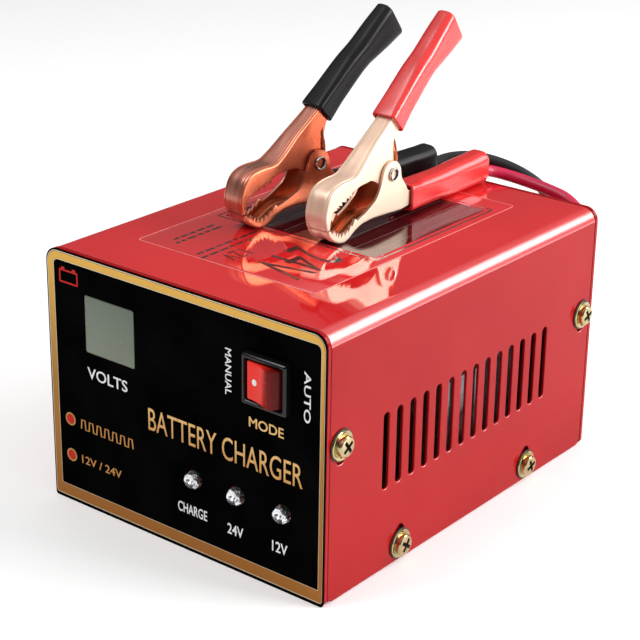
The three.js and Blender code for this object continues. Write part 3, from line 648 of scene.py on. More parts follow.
def coil_turns(first_height, last_height):
    """Two and three-quarter turns: one outside, one inside it and one on top of both."""
    heights = [
        (-3, first_height), (50, COIL_FLAT), (590, COIL_FLAT), (625, COIL_TOP), (670, COIL_HUMP),
        (720, COIL_TOP), (880, COIL_TOP), (925, COIL_HUMP), (950, COIL_HUMP), (990, last_height),
    ]
    turns = []
    for angle in range(3, 988, 6):
        radius = keyed(angle, TURN_RADIUS)
        x = COIL["x"] + radius * math.cos(math.radians(angle))
        y = COIL["y"] + radius * math.sin(math.radians(angle))
        turns.append((x, y, keyed(angle, heights)))
    return turns


def lead_route(way_out, way_up, floor):
    turns = coil_turns(way_out[-1][2] - floor, way_up[0][2] - floor)
    return [*way_out, *((x, y, z + floor) for x, y, z in turns), *way_up]


def add_lead(colour, way_out, way_up, floor):
    route = smooth_path(lead_route(way_out, way_up, floor), LEAD_STEP)
    lead = tube(f"{colour}_lead", route, LEAD_RADIUS, 4)
    settle(lead, f"lead_{colour}", [f"{colour}_lead_{part}" for part in LEAD_PARTS])


def add_tie(name, angle):
    """A plastic band round both coils."""
    low, high = 0.5, 2 * COIL["layer"] - 0.1
    middle, half = OUTER_TURN - 2.05, 4.2
    path = slab(middle, (low + high) / 2, half, (high - low) / 2, 2.1, 6)
    turn = rotation(angle)
    origin = Vector((COIL["x"], COIL["y"], 0))
    rings = []
    for r, z in path:
        out = Vector((r - middle, z - (low + high) / 2)).normalized() * 0.35
        rings.append([
            origin + turn @ Vector((r + out.x * s, w, z + out.y * s))
            for s, w in ((-1, -1.2), (-1, 1.2), (1, 1.2), (1, -1.2))])
    return settle(lofted(name, rings, looped=True), "black_plastic", smooth=40)


# ---- Case

def onto_front(depth):
    """Puts a plate that lies in XY on the front panel, with its middle at that depth in y."""
    return lambda p: Vector((p.x, FRONT + depth - p.z, p.y))


def front_holes():
    lamps = [disc(x, z, LAMP_RADIUS + 0.25) for x, z in LAMPS.values()]
    return [rounded_rect(*WINDOW, [0.8] * 4, 4), slab(*SWITCH, 7.8, 7.2, 0.6), *lamps]


def flat_piece(name, loops, thick, edge, place, look, stands_for=(), arc=2):
    mesh = placed(plate_mesh(name, loops, thick, edge, arc), place)
    return settle(link(name, mesh), look, stands_for)


def cover_place(point):
    """Bends the flat cover pattern: x runs from the middle of the top, y along the case."""
    sign = 1 if point.x >= 0 else -1
    along = abs(point.x) - TOP_FLAT
    angle = min(max(along, 0), BEND_ARC) / BEND_RADIUS
    reach = BEND_RADIUS + point.z
    x = TOP_FLAT + min(along, 0) + reach * math.sin(angle)
    drop = max(along - BEND_ARC, 0)
    return Vector((sign * x, point.y, HEIGHT - BEND + reach * math.cos(angle) - drop))


def cover_side(z):
    """How far from the middle of the flat pattern a height on the side lies."""
    return TOP_FLAT + BEND_ARC + HEIGHT - BEND - z


def turned_loop(loop):
    """Swaps a loop given in (y, z) of the side to the (pattern, y) of the right side."""
    return [(cover_side(z), y) for y, z in loop]


BEND_STEPS = 10
# These pick the faces for the top's lit copy of the red and for the bends' painted highlight.
LIT_TOP_SLOPE = 0.985  # the least upward part of the top's normals
BEND_HIGHLIGHT_SLOPE = 0.12  # and of the bends'


def add_cover():
    edge = cover_side(COVER_LOW.z)
    y0, y1 = COVER_LOW.y, COVER_HIGH.y
    loops = [rounded_rect(-edge, y0, edge, y1, [COVER_CORNER] * 4)]
    right = []
    half = SLOT["half"]
    for i in range(SLOT["count"]):
        y = SLOT["first"] + i * SLOT["pitch"]
        right.append(rounded_rect(y - half, SLOT["low"], y + half, SLOT["high"], [half] * 4, 6))
    half, reach = SCREW_SLOT["half"], SCREW_SLOT["reach"]
    for y, z, way in SCREW_PLACES.values():
        low, high = sorted((z - way * half, z + way * reach))
        right.append(rounded_rect(y - half, low, y + half, high, [half] * 4, 6))
    for loop in map(turned_loop, right):
        loops += [loop, [(-x, y) for x, y in loop]]
    mesh = plate_mesh("cover", loops, SHEET, 0.22)
    with edited(mesh) as work:
        merge(work, 1e-4)
        for sign in (-1, 1):
            for i in range(BEND_STEPS + 1):
                at = Vector((sign * (TOP_FLAT + BEND_ARC * i / BEND_STEPS), 0, 0))
                bmesh.ops.bisect_plane(
                    work, geom=[*work.verts, *work.edges, *work.faces], dist=1e-5,
                    plane_co=at, plane_no=(1, 0, 0))
    # Most of the cover takes the darker copy of the red: painted shade for the sides.
    cover = settle(link("cover", placed(mesh, cover_place)), "red_paint", ["top_cover"])
    levelled(cover)
    # The top's faces take the lighter copy of the red: painted light.
    repaint(cover, "top_paint_lit", lambda normal: normal.z > LIT_TOP_SLOPE)
    # The bends take a paler copy of the red: a painted highlight.
    repaint(
        cover, "bend_paint_highlight",
        lambda normal: BEND_HIGHLIGHT_SLOPE < normal.z <= LIT_TOP_SLOPE and abs(normal.y) < 0.3)


def add_chassis():
    """A copy of the CAD node with its flat faces joined and its edges rounded."""
    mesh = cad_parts["chassis"].data.copy()
    with edited(mesh) as work:
        merge(work, 1e-6)
        bmesh.ops.dissolve_limit(
            work, angle_limit=math.radians(2), verts=work.verts, edges=work.edges)
    shell = bevelled(link("chassis_shell", mesh), 0.45)
    # The chassis takes the darker, shaded copy of the red, and its upper front edges the paler copy
    # as a painted highlight.
    levelled(settle(shell, "red_paint", ["chassis"]))
    repaint(shell, "bend_paint_highlight", lambda normal: normal.z > 0.2 and normal.y < -0.2)


# The arms of a screw's cross recess, as (height, half length, half width)
RECESS = [(0.9, 0.5, 0.3), (1.5, 1.3, 0.42), (3.2, 2.7, 0.62)]


def screw_mesh():
    """A screw with a flange that points along +z. Its cross recess and the edge that it sits on
    take the second material, a near-black painted shade for the recess and the shadow under
    the flange."""
    profile = [
        (0, -6), (0.8, -6), (1.6, -5), (1.6, -0.1), (4.8, 0), (4.98, 0.1), (4.98, 0.42),
        (4.6, 0.44), (4.62, 0.62), (4.52, 0.8), (4.3, 0.9), (4, 0.84), (3.55, 0.62),
        (3.35, 0.66), (3.3, 1.7), (3.18, 2.2), (2.9, 2.5), (2.4, 2.66), (1.4, 2.74),
        (0.6, 2.76), (0, 2.76),
    ]
    body = link("screw", lathe_mesh("screw", profile))
    for turn in (0, 90):
        rings = []
        for height, reach, half in RECESS:
            ring = [(-reach, -half), (reach, -half), (reach, half), (-reach, half)]
            if turn:
                ring = [(-y, x) for x, y in ring]
            rings.append([(x, y, height) for x, y in ring])
        arm = lofted(f"arm_{turn}", rings)
        modified(body, "BOOLEAN", object=arm, operation="DIFFERENCE", solver="EXACT")
        bpy.data.objects.remove(arm)
    for face in body.data.polygons:
        radius, height = math.hypot(*face.center[:2]) / MM, face.center.z / MM
        recess = radius < 2.3 and 0.8 < height < 2.62
        seat = radius > 4.5 and height < 0.45
        face.material_index = int(recess or seat)
    mesh = body.data
    bpy.data.objects.remove(body)
    return mesh


def add_screws():
    mesh = screw_mesh()
    turns = random.Random(7)
    for side, sign in (("right", 1), ("left", -1)):
        for place, (y, z, _) in SCREW_PLACES.items():
            node = f"screw_{side}_{place}"
            spin = rotation(turns.uniform(15, 75))
            seat = sign * (HALF + 0.02)
            data = mesh.copy()
            data.transform(shift(seat, y, z) @ rotation(sign * 90, "Y") @ spin)
            # The recess and the seat take the painted shade.
            settle(link(f"{node}_head", data), "zinc_yellow", [node], 28, second="painted_shade_dark")


# ---- Front panel

PRINT = 0.05  # thickness of a printed mark


def print_piece(name, loops, look):
    return flat_piece(name, loops, PRINT, 0.01, onto_front(-PRINT / 2), look, arc=0)


def lettering(name, text, box, look, place, turn=0, weight=0.0):
    """Raised print that fills box, (left, bottom, right, top), on a face given by place."""
    curve = bpy.data.curves.new(text, "FONT")
    curve.body = text
    curve.extrude = 0.5
    curve.offset = weight
    curve.resolution_u = 4
    mesh = mesh_from(text, curve)
    mesh.transform(rotation(turn))
    xs = [v.co.x for v in mesh.vertices]
    ys = [v.co.y for v in mesh.vertices]
    x0, y0 = min(xs), min(ys)
    wide = (box[2] - box[0]) / (max(xs) - x0)
    tall = (box[3] - box[1]) / (max(ys) - y0)

    def fit(p):
        x = box[0] + (p.x - x0) * wide
        y = box[1] + (p.y - y0) * tall
        return place(Vector((x, y, p.z * PRINT)))

    return settle(link(name, placed(mesh, fit, 1e-5)), look)


def panel_box(left, top, right, bottom):
    """A box measured from the panel's upper left corner, as (left, bottom, right, top) in x, z."""
    return (left - HALF, HEIGHT - bottom, right - HALF, HEIGHT - top)


# Closed lines on the panel, as (name, look, outer box, its corners, inner box, its corners)
BORDERS = [
    ("panel_border", "gold", (0.9, 0.9, 109.35, 83.4), [0.9, 0.9, 3.9, 3.9],
     (3.1, 3.1, 108.3, 79.9), [0.3, 0.3, 2, 2]),
    ("panel_line_outer", "pale_gold", (0.55, 0.5, 109.65, 83.85), [1.1, 1.1, 4.2, 4.2],
     (0.8, 0.75, 109.5, 83.5), [0.9, 0.9, 3.9, 3.9]),
    ("panel_line_inner", "pale_gold", (3.15, 3.15, 108.25, 79.85), [0.3, 0.3, 2, 2],
     (3.35, 3.35, 108.1, 79.65), [0.3, 0.3, 1.8, 1.8]),
]


def add_label():
    outline = rounded_rect(-HALF, 0, HALF, HEIGHT, [1.1, 1.1, 4.5, 4.5])
    flat_piece(
        "panel_label", [outline, *front_holes()], LABEL_THICK, 0.12,
        onto_front(LABEL_THICK / 2), "panel_black", ["front_label"])
    for name, look, wide, wide_radii, slim, slim_radii in BORDERS:
        loops = [
            rounded_rect(*panel_box(*wide), wide_radii), rounded_rect(*panel_box(*slim), slim_radii)]
        print_piece(name, loops, look)


def add_words():
    on_panel = onto_front(-PRINT / 2)
    labels = [
        ("title", "BATTERY CHARGER", (42, 41.8, 102, 49.2), "title_gold", 0, 0.0),
        ("volts", "VOLTS", (16.5, 35.8, 33.5, 39.6), "white_print", 0, 0.01),
        ("mode", "MODE", (82, 32.4, 95, 35.6), "title_gold", 0, 0.012),
        ("manual", "MANUAL", (73, 13.5, 75.4, 28), "white_print", -90, 0.01),
        ("automatic", "AUTO", (102.2, 12.5, 104.6, 28), "white_print", -90, 0.01),
        ("charge", "CHARGE", (53.7, 69, 65.5, 72.4), "white_print", 0, 0.012),
        ("high_range", "24V", (73.6, 69.7, 79.8, 73.2), "white_print", 0, 0.012),
        ("low_range", "12V", (90.9, 69.3, 96.7, 72.8), "white_print", 0, 0.012),
        ("ranges", "12V / 24V", (12.6, 67.2, 30, 70), "title_gold", 0, 0.01),
    ]
    for name, text, area, look, turn, weight in labels:
        lettering(f"print_{name}", text, panel_box(*area), look, on_panel, turn, weight)


def add_marks():
    for name, v in (("upper", 56.1), ("lower", 68.6)):
        x, z = 8.1 - HALF, HEIGHT - v
        print_piece(f"dot_ring_{name}", [disc(x, z, 2.2), disc(x, z, 1.62)], "title_gold")
        print_piece(f"dot_{name}", [disc(x, z, 1.5)], "red_print")
    pulse = []
    for i in range(7):
        x, low, high = 12.8 - HALF + 3.4 * i, HEIGHT - 58, HEIGHT - 54.9
        pulse += [(x, low), (x + 0.3, high), (x + 1.7, high), (x + 2, low)]
    print_piece("pulse_mark", [ribbon(pulse, 0.55)], "title_gold")
    left, bottom, right, top = panel_box(5.6, 6, 13.6, 10.4)
    wall = 0.55
    body = rounded_rect(left, bottom, right, top, [0.4] * 4, 3)
    room = rounded_rect(left + wall, bottom + wall, right - wall, top - wall, [0.2] * 4, 3)
    print_piece("battery_mark", [body, room], "red_print")
    for i, x in enumerate((left + 1, right - 2.4)):
        post = rounded_rect(x, top - 0.05, x + 1.4, top + 0.75, [0.1] * 4, 2)
        print_piece(f"battery_post_{i}", [post], "red_print")


def add_display():
    left, bottom, right, top = WINDOW
    pane = rounded_rect(left + 0.15, bottom + 0.15, right - 0.15, top - 0.15, [0.7] * 4, 4)
    thick, edge, middle = 1.4, 0.25, 0.95
    flat_piece(
        "display_pane", [pane], thick, edge, onto_front(middle), "display_glass",
        ["display_window"])


# The bezel's sections, as (half width, half height, y from the panel, corner radius)
BEZEL = [
    (7.5, 6.9, -60 - FRONT, 0.5), (7.5, 6.9, -0.02, 0.5), (8.2, 7.9, -0.02, 0.7),
    (8.2, 7.9, -1.7, 0.7), (8.12, 7.82, -1.95, 0.7), (7.72, 7.36, -2.36, 0.6),
    (7.6, 7.22, -2.4, 0.6), (7.35, 6.85, -2.4, 0.5), (7.2, 6.6, -2.2, 0.5),
    (7.0, 6.2, -1.2, 0.45), (7.0, 6.2, 5, 0.4),
]


def add_switch():
    rings = [
        [(x, FRONT + depth, z) for x, z in slab(*SWITCH, wide, tall, radius)]
        for wide, tall, depth, radius in BEZEL
    ]
    settle(lofted("switch_bezel", rings), "black_plastic", ["switch_housing"], 40)


ROCKER = {"radius": 6.6, "half": 5.85, "valley": 9, "tilt": 17, "end": 43.6, "back": 3}


def rocker_section():
    """The rocker's outline, in (across, forward) from its pivot, before it is tilted."""
    radius, end = ROCKER["radius"], math.radians(ROCKER["end"])
    tip = Vector((radius * math.cos(end), radius * math.sin(end)))
    dip = tip.y - tip.x * math.tan(math.radians(ROCKER["valley"]))
    low = -math.asin(ROCKER["back"] / radius)
    steps = 12
    face = []
    for i in range(-steps, steps + 1):
        t = i / steps
        face.append((tip.x * t, dip + (tip.y - dip) * t * t))
    wall = [end + (low - end) * i / steps for i in range(1, steps + 1)]
    right = [(radius * math.cos(a), radius * math.sin(a)) for a in wall]
    left = [(-x, f) for x, f in right[::-1]]
    return face + right + left


def rocker_point(x, forward, z):
    tilt = math.radians(ROCKER["tilt"])
    across = x * math.cos(tilt) - forward * math.sin(tilt)
    ahead = x * math.sin(tilt) + forward * math.cos(tilt)
    return Vector((SWITCH[0] + across, ROCKER_PIVOT_Y - ahead, SWITCH[1] + z))


def add_rocker():
    section = rocker_section()
    half = ROCKER["half"]
    rings = [[rocker_point(x, f, z) for x, f in section] for z in (-half, half)]
    body = bevelled(lofted("rocker_body", rings), 0.3, 3, 50)
    # Its red darkens towards the right end: painted shade.
    settle(body, "rocker_red", ["switch_rocker"], 40, "rocker")
    middle = rocker_point(-1.9, 3.96, 0)
    lean = 7  # how much less the hollow face leans at the dot
    tilt = rotation(lean - ROCKER["tilt"])
    dot = plate_mesh("rocker_dot", [disc(0, 0, 1, 24)], 0.16, 0.04)
    mesh = placed(dot, lambda p: middle + tilt @ Vector((p.x, -p.z, p.y)))
    settle(link("rocker_dot", mesh), "white_print", body="rocker")


def lamp_profile(radius, length, dome):
    steps = 10
    angles = [math.pi / 2 * i / steps for i in range(steps + 1)]
    arc = [(radius * math.cos(a), length - radius + radius * math.sin(a)) for a in angles]
    return [(0, 0), (dome, 0), (dome, 0.8), (radius, 0.9), *arc[:-1], (0, length)]


# The cup inside a lamp, as (radius, height), and the post beside it, as (height, half width)
LAMP_CUP = [
    (0, 2.9), (0.5, 2.9), (0.6, 3.6), (1.25, 4.2), (1.25, 4.35), (0.9, 4.3), (0.4, 3.9), (0, 3.85)]
LAMP_POST = [(1.2, 0.25), (3.4, 0.25), (3.7, 0.75), (4.3, 0.6)]


def add_lamps():
    for name, (lamp_x, lamp_z) in LAMPS.items():
        at = shift(lamp_x, FRONT + LAMP_SEAT, lamp_z) @ rotation(90, "X")
        profile = lamp_profile(LAMP_RADIUS - 0.05, LAMP_LENGTH, LAMP_RADIUS + 0.5)
        mesh = lathe_mesh(name, profile)
        mesh.transform(at)
        settle(link(f"{name}_dome", mesh), "lamp_clear", [name], 40)
        metal = lathe_mesh(f"{name}_cup", LAMP_CUP, 24)
        metal.transform(at @ shift(-0.5, 0, 0))
        settle(link(f"{name}_cup", metal), "lamp_metal")
        rings = [
            [(x, y, height) for x, y in slab(1.15, 0, half, 0.3, 0.08, 2)]
            for height, half in LAMP_POST
        ]
        post = lofted(f"{name}_post", rings)
        post.data.transform(at)
        settle(post, "lamp_metal")


# ---- Top sticker

def onto_top(lift):
    """Puts a plate that lies in (across, back) on the top of the case, that high above it."""
    return lambda p: Vector((p.x - HALF, p.y + FRONT, HEIGHT + lift + p.z))


def top_piece(name, loops, look, lift=0.06, thick=0.04):
    return flat_piece(name, loops, thick, 0.01, onto_top(lift), look, arc=0)


def frame_loops(x0, y0, x1, y1, line, radius=1.2):
    outer = rounded_rect(x0, y0, x1, y1, [radius] * 4, 4)
    hole = [max(radius - line, 0.1)] * 4
    return [outer, rounded_rect(x0 + line, y0 + line, x1 - line, y1 - line, hole, 4)]


def add_sticker():
    film = rounded_rect(17.5, 21.8, 88, 126, [1.5] * 4)
    flat_piece("sticker_film", [film], 0.06, 0.02, onto_top(0.03), "film", arc=1)
    # The film's edge as a painted highlight.
    top_piece("sticker_edge", frame_loops(17.6, 21.9, 87.9, 125.9, 0.22, 1.4), "film_edge_highlight")
    top_piece("sticker_table", frame_loops(21, 54.5, 85, 118, 0.7), "dark_print")
    top_piece("sticker_field", [rounded_rect(23, 56.6, 83, 116, [0.6] * 4, 4)], "table_print")
    for i in range(9):
        x = 26.5 + 6.6 * i
        row = [(x, 58), (x + 0.3, 58), (x + 0.3, 114.5), (x, 114.5)]
        top_piece(f"sticker_row_{i}", [row], "dark_print", 0.1)
    on_top = onto_top(0.07)
    big = [("wide_range", "24V", (58, 27, 77.5, 50)), ("small_range", "12V", (46.5, 27, 53, 36))]
    for name, text, area in big:
        lettering(f"sticker_{name}", text, area, "dark_print", on_top, -90)
    lines = random.Random(3)
    columns = [(25.8, 29, 46), (28.6, 27, 48), (40, 24, 50), (43.2, 22.5, 48)]
    for column, (x, y, end) in enumerate(columns):
        i = 0
        while y < end:
            dash = lines.uniform(1.6, 4.4)
            bar = [(x, y), (x + 1.1, y), (x + 1.1, y + dash), (x, y + dash)]
            top_piece(f"sticker_dash_{column}_{i}", [bar], "dark_print")
            y += dash + 0.9
            i += 1


# ---- Clamps

# Each half is a folded channel. A station pairs a point on its spine with one on its open edge,
# in (back, up) from the rivet.
UPPER_STATIONS = [
    ((-32.2, -10.6), (-31.1, -10.5)), ((-32.9, -7.6), (-30.6, -7.4)),
    ((-32.7, -4.8), (-29.3, -5.0)), ((-31.5, -1.3), (-27.3, -3.6)),
    ((-29.8, 0.9), (-25.5, -2.8)), ((-27.2, 2.2), (-23, -2.0)),
    ((-23.6, 2.8), (-20.5, -1.2)), ((-18.8, 3.1), (-16.6, -0.1)), ((-15.6, 4.9), (-12.6, 0)),
    ((-12.4, 7.4), (-10, 0)), ((-9.3, 10), (-7.2, -1.1)), ((-6.4, 12.2), (-4.4, -2.9)),
    ((-3.4, 14.4), (-1.8, -3.8)), ((-0.2, 16.8), (1.4, -3.4)), ((1.2, 18), (3.4, -1.2)),
    ((2.6, 19.2), (2.4, 3.5)), ((4.2, 20.5), (2.9, 8.5)), ((6.6, 22.5), (4.2, 12.9)),
    ((9, 24.5), (6.6, 16.2)), ((12, 27), (10.8, 20.3)), ((15, 29.5), (14.6, 23.6)),
]
UPPER_TEETH = (2, 6)
LOWER_STATIONS = [
    ((-31.7, -11.1), (-30.7, -10.9)), ((-30.9, -12.9), (-30, -12.1)),
    ((-28.6, -15), (-28.2, -13.6)), ((-25.8, -16.3), (-25.4, -14.5)), ((-23, -16.5), (-22, -13.9)),
    ((-20.6, -15.5), (-20.1, -12.3)), ((-18.2, -14.1), (-17.4, -11)),
    ((-15, -12.9), (-13.6, -9.5)), ((-12, -12.5), (-10.9, -8)), ((-9.4, -12.3), (-8.5, -6.4)),
    ((-6.9, -12.4), (-6.7, -3.9)), ((-5, -12.5), (-5.5, -1.2)), ((-3.6, -12.6), (-4.8, 1.2)),
    ((-2.2, -12.65), (-3.3, 3.3)), ((-0.8, -12.75), (-0.9, 4.2)), ((0.8, -12.9), (1.9, 3.7)),
    ((2.4, -13), (4, 1.2)), ((4.4, -13.1), (4.8, -2.2)), ((7, -13.2), (7.4, -5.2)),
    ((10.4, -13.5), (10.3, -8.1)), ((14, -13.6), (14, -8.8)), ((20, -13.9), (20, -9.2)),
]
LOWER_TEETH = (1, 6)
UPPER_PLAN = [(-40, 4.3), (-17, 4.3), (-8, 3.4), (2, 3.1), (12, 2.9), (60, 2.9)]
LOWER_PLAN = [(-40, 4.3), (-17, 4.3), (-9, 4.6), (6, 4.6), (11, 3.1), (20, 2.9), (60, 2.9)]
CLAMP_SHEET = 0.9
SPRING_WIRE = 0.45  # radius
FOLD = 0.8  # the radius between spine and cheek
TOOTH = 1.6  # depth


def width_at(plan, u):
    """The half width there, with the plan's corners smoothed a little."""
    total = 0
    spread = (-1.5, 0, 1.5)
    for offset in spread:
        for (a, x), (b, y) in zip(plan, plan[1:]):
            if a <= u + offset <= b:
                total += x + (y - x) * (u + offset - a) / (b - a)
                break
    return total / len(spread)


def channel_rows(stations, toothed):
    """Rows of (spine point, edge point) along a channel, with teeth in part of its edge."""
    rows = []
    for i in range(len(stations) - 1):
        (s0, m0), (s1, m1) = stations[i], stations[i + 1]
        teeth = toothed[0] <= i < toothed[1]
        longest = max(math.dist(s0, s1), math.dist(m0, m1))
        count = 2 * max(1, round(longest / 2)) if teeth else max(2, round(longest / 0.7))
        for k in range(count):
            t = i + k / count
            spine = Vector(catmull([s for s, _ in stations], t))
            edge = Vector(catmull([m for _, m in stations], t))
            if teeth and k % 2:
                edge += (edge - spine).normalized() * TOOTH
            rows.append((spine, edge))
    rows.append(tuple(Vector(p) for p in stations[-1]))
    return rows


# The groove along each fold, as (distance from the fold, depth)
CREASE = [(0.1, 0), (0.34, 0.36), (0.58, 0)]


def channel_section(spine, edge, inward, plan, bead):
    """One row of points across the channel, from edge to edge, as (back, up, across)."""
    reach = min(FOLD, 0.45 * (edge - spine).length)
    top = width_at(plan, spine.x)
    low = width_at(plan, edge.x)
    start = spine + inward * reach
    half = []
    cheek_steps, fold_steps = 4, 5
    for i in range(cheek_steps):
        t = i / cheek_steps
        point = edge.lerp(start, t)
        half.append((point.x, point.y, low + (top - low) * t))
    for i in range(fold_steps + 1):
        angle = math.pi / 2 * i / fold_steps
        point = spine + inward * reach * (1 - math.sin(angle))
        half.append((point.x, point.y, top - reach * (1 - math.cos(angle))))
    for away, dip in CREASE:
        point = spine + inward * dip
        half.append((point.x, point.y, top - reach - away))
    inner = []
    for share in (1, 0.6, 0.25, 0):
        lift = inward * bead * (1 - share ** 2)
        inner.append((spine.x + lift.x, spine.y + lift.y, top * 0.4 * share))
    left = half + inner
    return [*left, *((u, v, -w) for u, v, w in left[-2::-1])]


def channel(stations, toothed, plan, bead=0.0):
    """A folded jaw of sheet metal, in (across, back, up). Its inside takes the second material, a
    darker copper as painted shade, and bead is how far the middle of its spine is pressed in."""
    rows = channel_rows(stations, toothed)
    points = []
    for i, (spine, edge) in enumerate(rows):
        before = rows[max(i - 1, 0)][0]
        after = rows[min(i + 1, len(rows) - 1)][0]
        along = (after - before).normalized()
        inward = aside(along)
        if inward.dot(edge - spine) < 0:
            inward = -inward
        fade = min(1, i / 12)
        points += channel_section(spine, edge, inward, plan, bead * fade)
    columns = len(points) // len(rows)
    points = [Vector((w, u, v)) * MM for u, v, w in points]
    mesh = bpy.data.meshes.new("jaw")
    mesh.from_pydata(points, [], grid_faces(len(rows), columns))
    middle = mesh.polygons[(len(rows) // 2) * (columns - 1) + columns // 2]
    spine, edge = rows[len(rows) // 2]
    if middle.normal.dot(Vector((0, *(spine - edge)))) < 0:
        mesh.flip_normals()
    for look in ("copper_red", "copper_inside_painted_shade"):
        mesh.materials.append(LOOKS[look])
    # The inner faces take the second material, the darker copper: painted shade.
    sheet = modified(
        link("jaw", mesh), "SOLIDIFY", thickness=CLAMP_SHEET * MM, offset=-1,
        use_even_offset=False, material_offset=1)
    return bevelled(sheet, 0.12, 2, 50)


# Grip stations, as (back, up, half width, half depth)
UPPER_GRIP = [
    (2.4, 15.4, 4.6, 4.05), (5, 17.9, 4.5, 4.0), (9, 21.6, 4.45, 3.95), (16, 27.8, 4.35, 4.0),
    (20, 30.8, 4.25, 4.2), (24, 33.5, 4.15, 4.6), (30, 37.6, 3.85, 5.6), (34.3, 40.5, 3.45, 6.1),
]
LOWER_GRIP = [
    (11, -11, 4.75, 4.3), (15, -11.2, 4.7, 4.35), (20, -11.3, 4.65, 4.45), (32, -11.4, 4.6, 4.7),
    (44, -11.3, 4.65, 5.05), (54.3, -11.1, 4.4, 5.3),
]

# How round a grip's corners are where it starts and ends, as a share of its half width
GRIP_CORNERS = (0.4, 0.7)

# The rings that round a grip's mouth, from the inside out, as (inset, how far along)
GRIP_MOUTH = [(1.05, 6), (1.05, 0.35), (0.8, 0.08), (0.4, -0.05), (0.12, 0.04)]


def grip_loop(wide, deep, corner):
    """A rectangle with round corners, with points along its straight edges too."""
    steps, filled = 7, 5
    loop = slab(0, 0, wide, deep, corner * min(wide, deep), steps)
    points = []
    for i, point in enumerate(loop):
        points.append(point)
        if i % (steps + 1) == steps:
            following = loop[(i + 1) % len(loop)]
            for k in range(1, filled):
                points.append(tuple(Vector(point).lerp(Vector(following), k / filled)))
    return points


def grip_ring(station, normal, along, corner, hollow=0.0, inset=0.0, advance=0.0):
    """One section of a grip; its sides are hollowed or, below zero, bowed by that much."""
    u, v, half_width, half_depth = station
    centre = Vector((u, v)) + along * advance
    wide, deep = half_width - inset, half_depth - inset
    ring = []
    for across, up in grip_loop(wide, deep, corner):
        pinch = hollow * (1 - (up / deep) ** 2) ** 2 * (across / wide) ** 3
        point = centre + normal * (up + 0.25 * (1 - (across / wide) ** 2) * up / deep)
        ring.append(Vector((across - pinch, point.x, point.y)))
    return ring


def grip(stations, tip_round, hollow):
    """A dipped vinyl sleeve: boxy where it starts on the steel, rounder and hollowed further on."""
    start, final = GRIP_CORNERS
    path = []
    steps = 5
    last = len(stations) - 1
    for i in range(last * steps + 1):
        t = i / steps
        ahead = catmull(stations, min(t + 0.05, last))
        behind = catmull(stations, max(t - 0.05, 0))
        along = (Vector(ahead[:2]) - Vector(behind[:2])).normalized()
        path.append((t / last, catmull(stations, t), along))
    rings = []
    _, mouth, along = path[0]
    normal = aside(along)
    for inset, advance in GRIP_MOUTH:
        rings.append(grip_ring(mouth, normal, along, start, 0, inset, advance))
    for share, station, along in path:
        normal = aside(along)
        if share:
            station[3] *= 1 + 0.012 * math.sin(19 * share)
        corner = start + (final - start) * ease(share * 1.6)
        pinch = hollow * ease(share * 3) * ease((1 - share) * 4)
        advance = 0 if share else 0.25
        rings.append(grip_ring(station, normal, along, corner, pinch, 0, advance))
    _, end, along = path[-1]
    normal = aside(along)
    for i in range(1, 7):
        angle = math.pi / 2 * i / 6
        inset = tip_round * (1 - math.cos(angle))
        rings.append(grip_ring(end, normal, along, final, 0, inset, tip_round * math.sin(angle)))
    rings.append(grip_ring(end, normal, along, final, 0, tip_round * 1.8, tip_round * 1.04))
    return lofted("grip", rings)


def rivet():
    """A hollow rivet that lies across: rolled rims, and a bore painted dark as shade."""
    half, radius = 5.55, 2.3
    rim = [
        (0, half - 3), (1.3, half - 2.9), (1.55, half - 2.6), (1.62, half - 0.3),
        (1.78, half - 0.06), (2, half - 0.02), (radius - 0.08, half - 0.2),
        (radius, half - 0.42), (radius - 0.06, half - 0.68), (1.7, half - 0.72),
        (1.5, half - 3.4),
    ]
    profile = [*rim, *((r, -h) for r, h in rim[::-1])]
    mesh = lathe_mesh("rivet", profile, 32)
    for face in mesh.polygons:
        face.material_index = int(math.hypot(*face.center[:2]) < 1.64 * MM)
    mesh.transform(rotation(90, "Y"))
    return link("rivet", mesh)


def spring_paths():
    """The torsion spring's wire: a leg with the coil round the rivet, and the other leg."""
    mean, turns, width = 2.9, 2.75, 3.3
    start = math.radians(-60)
    coil = []
    steps = 80
    for i in range(steps + 1):
        angle = start - 2 * math.pi * turns * i / steps
        across = width * (i / steps - 0.5)
        coil.append((across, mean * math.cos(angle), mean * math.sin(angle)))
    leg = [coil[-1], (width / 2, -2.2, 7.8), (width / 2, -1.4, 12)]
    return [(-width / 2, 8.6, -10.9), *coil], leg


def clamp_place(colour):
    x, y, yaw = CLAMPS[colour]
    return shift(x, y, CLAMP_HEIGHT) @ rotation(yaw)


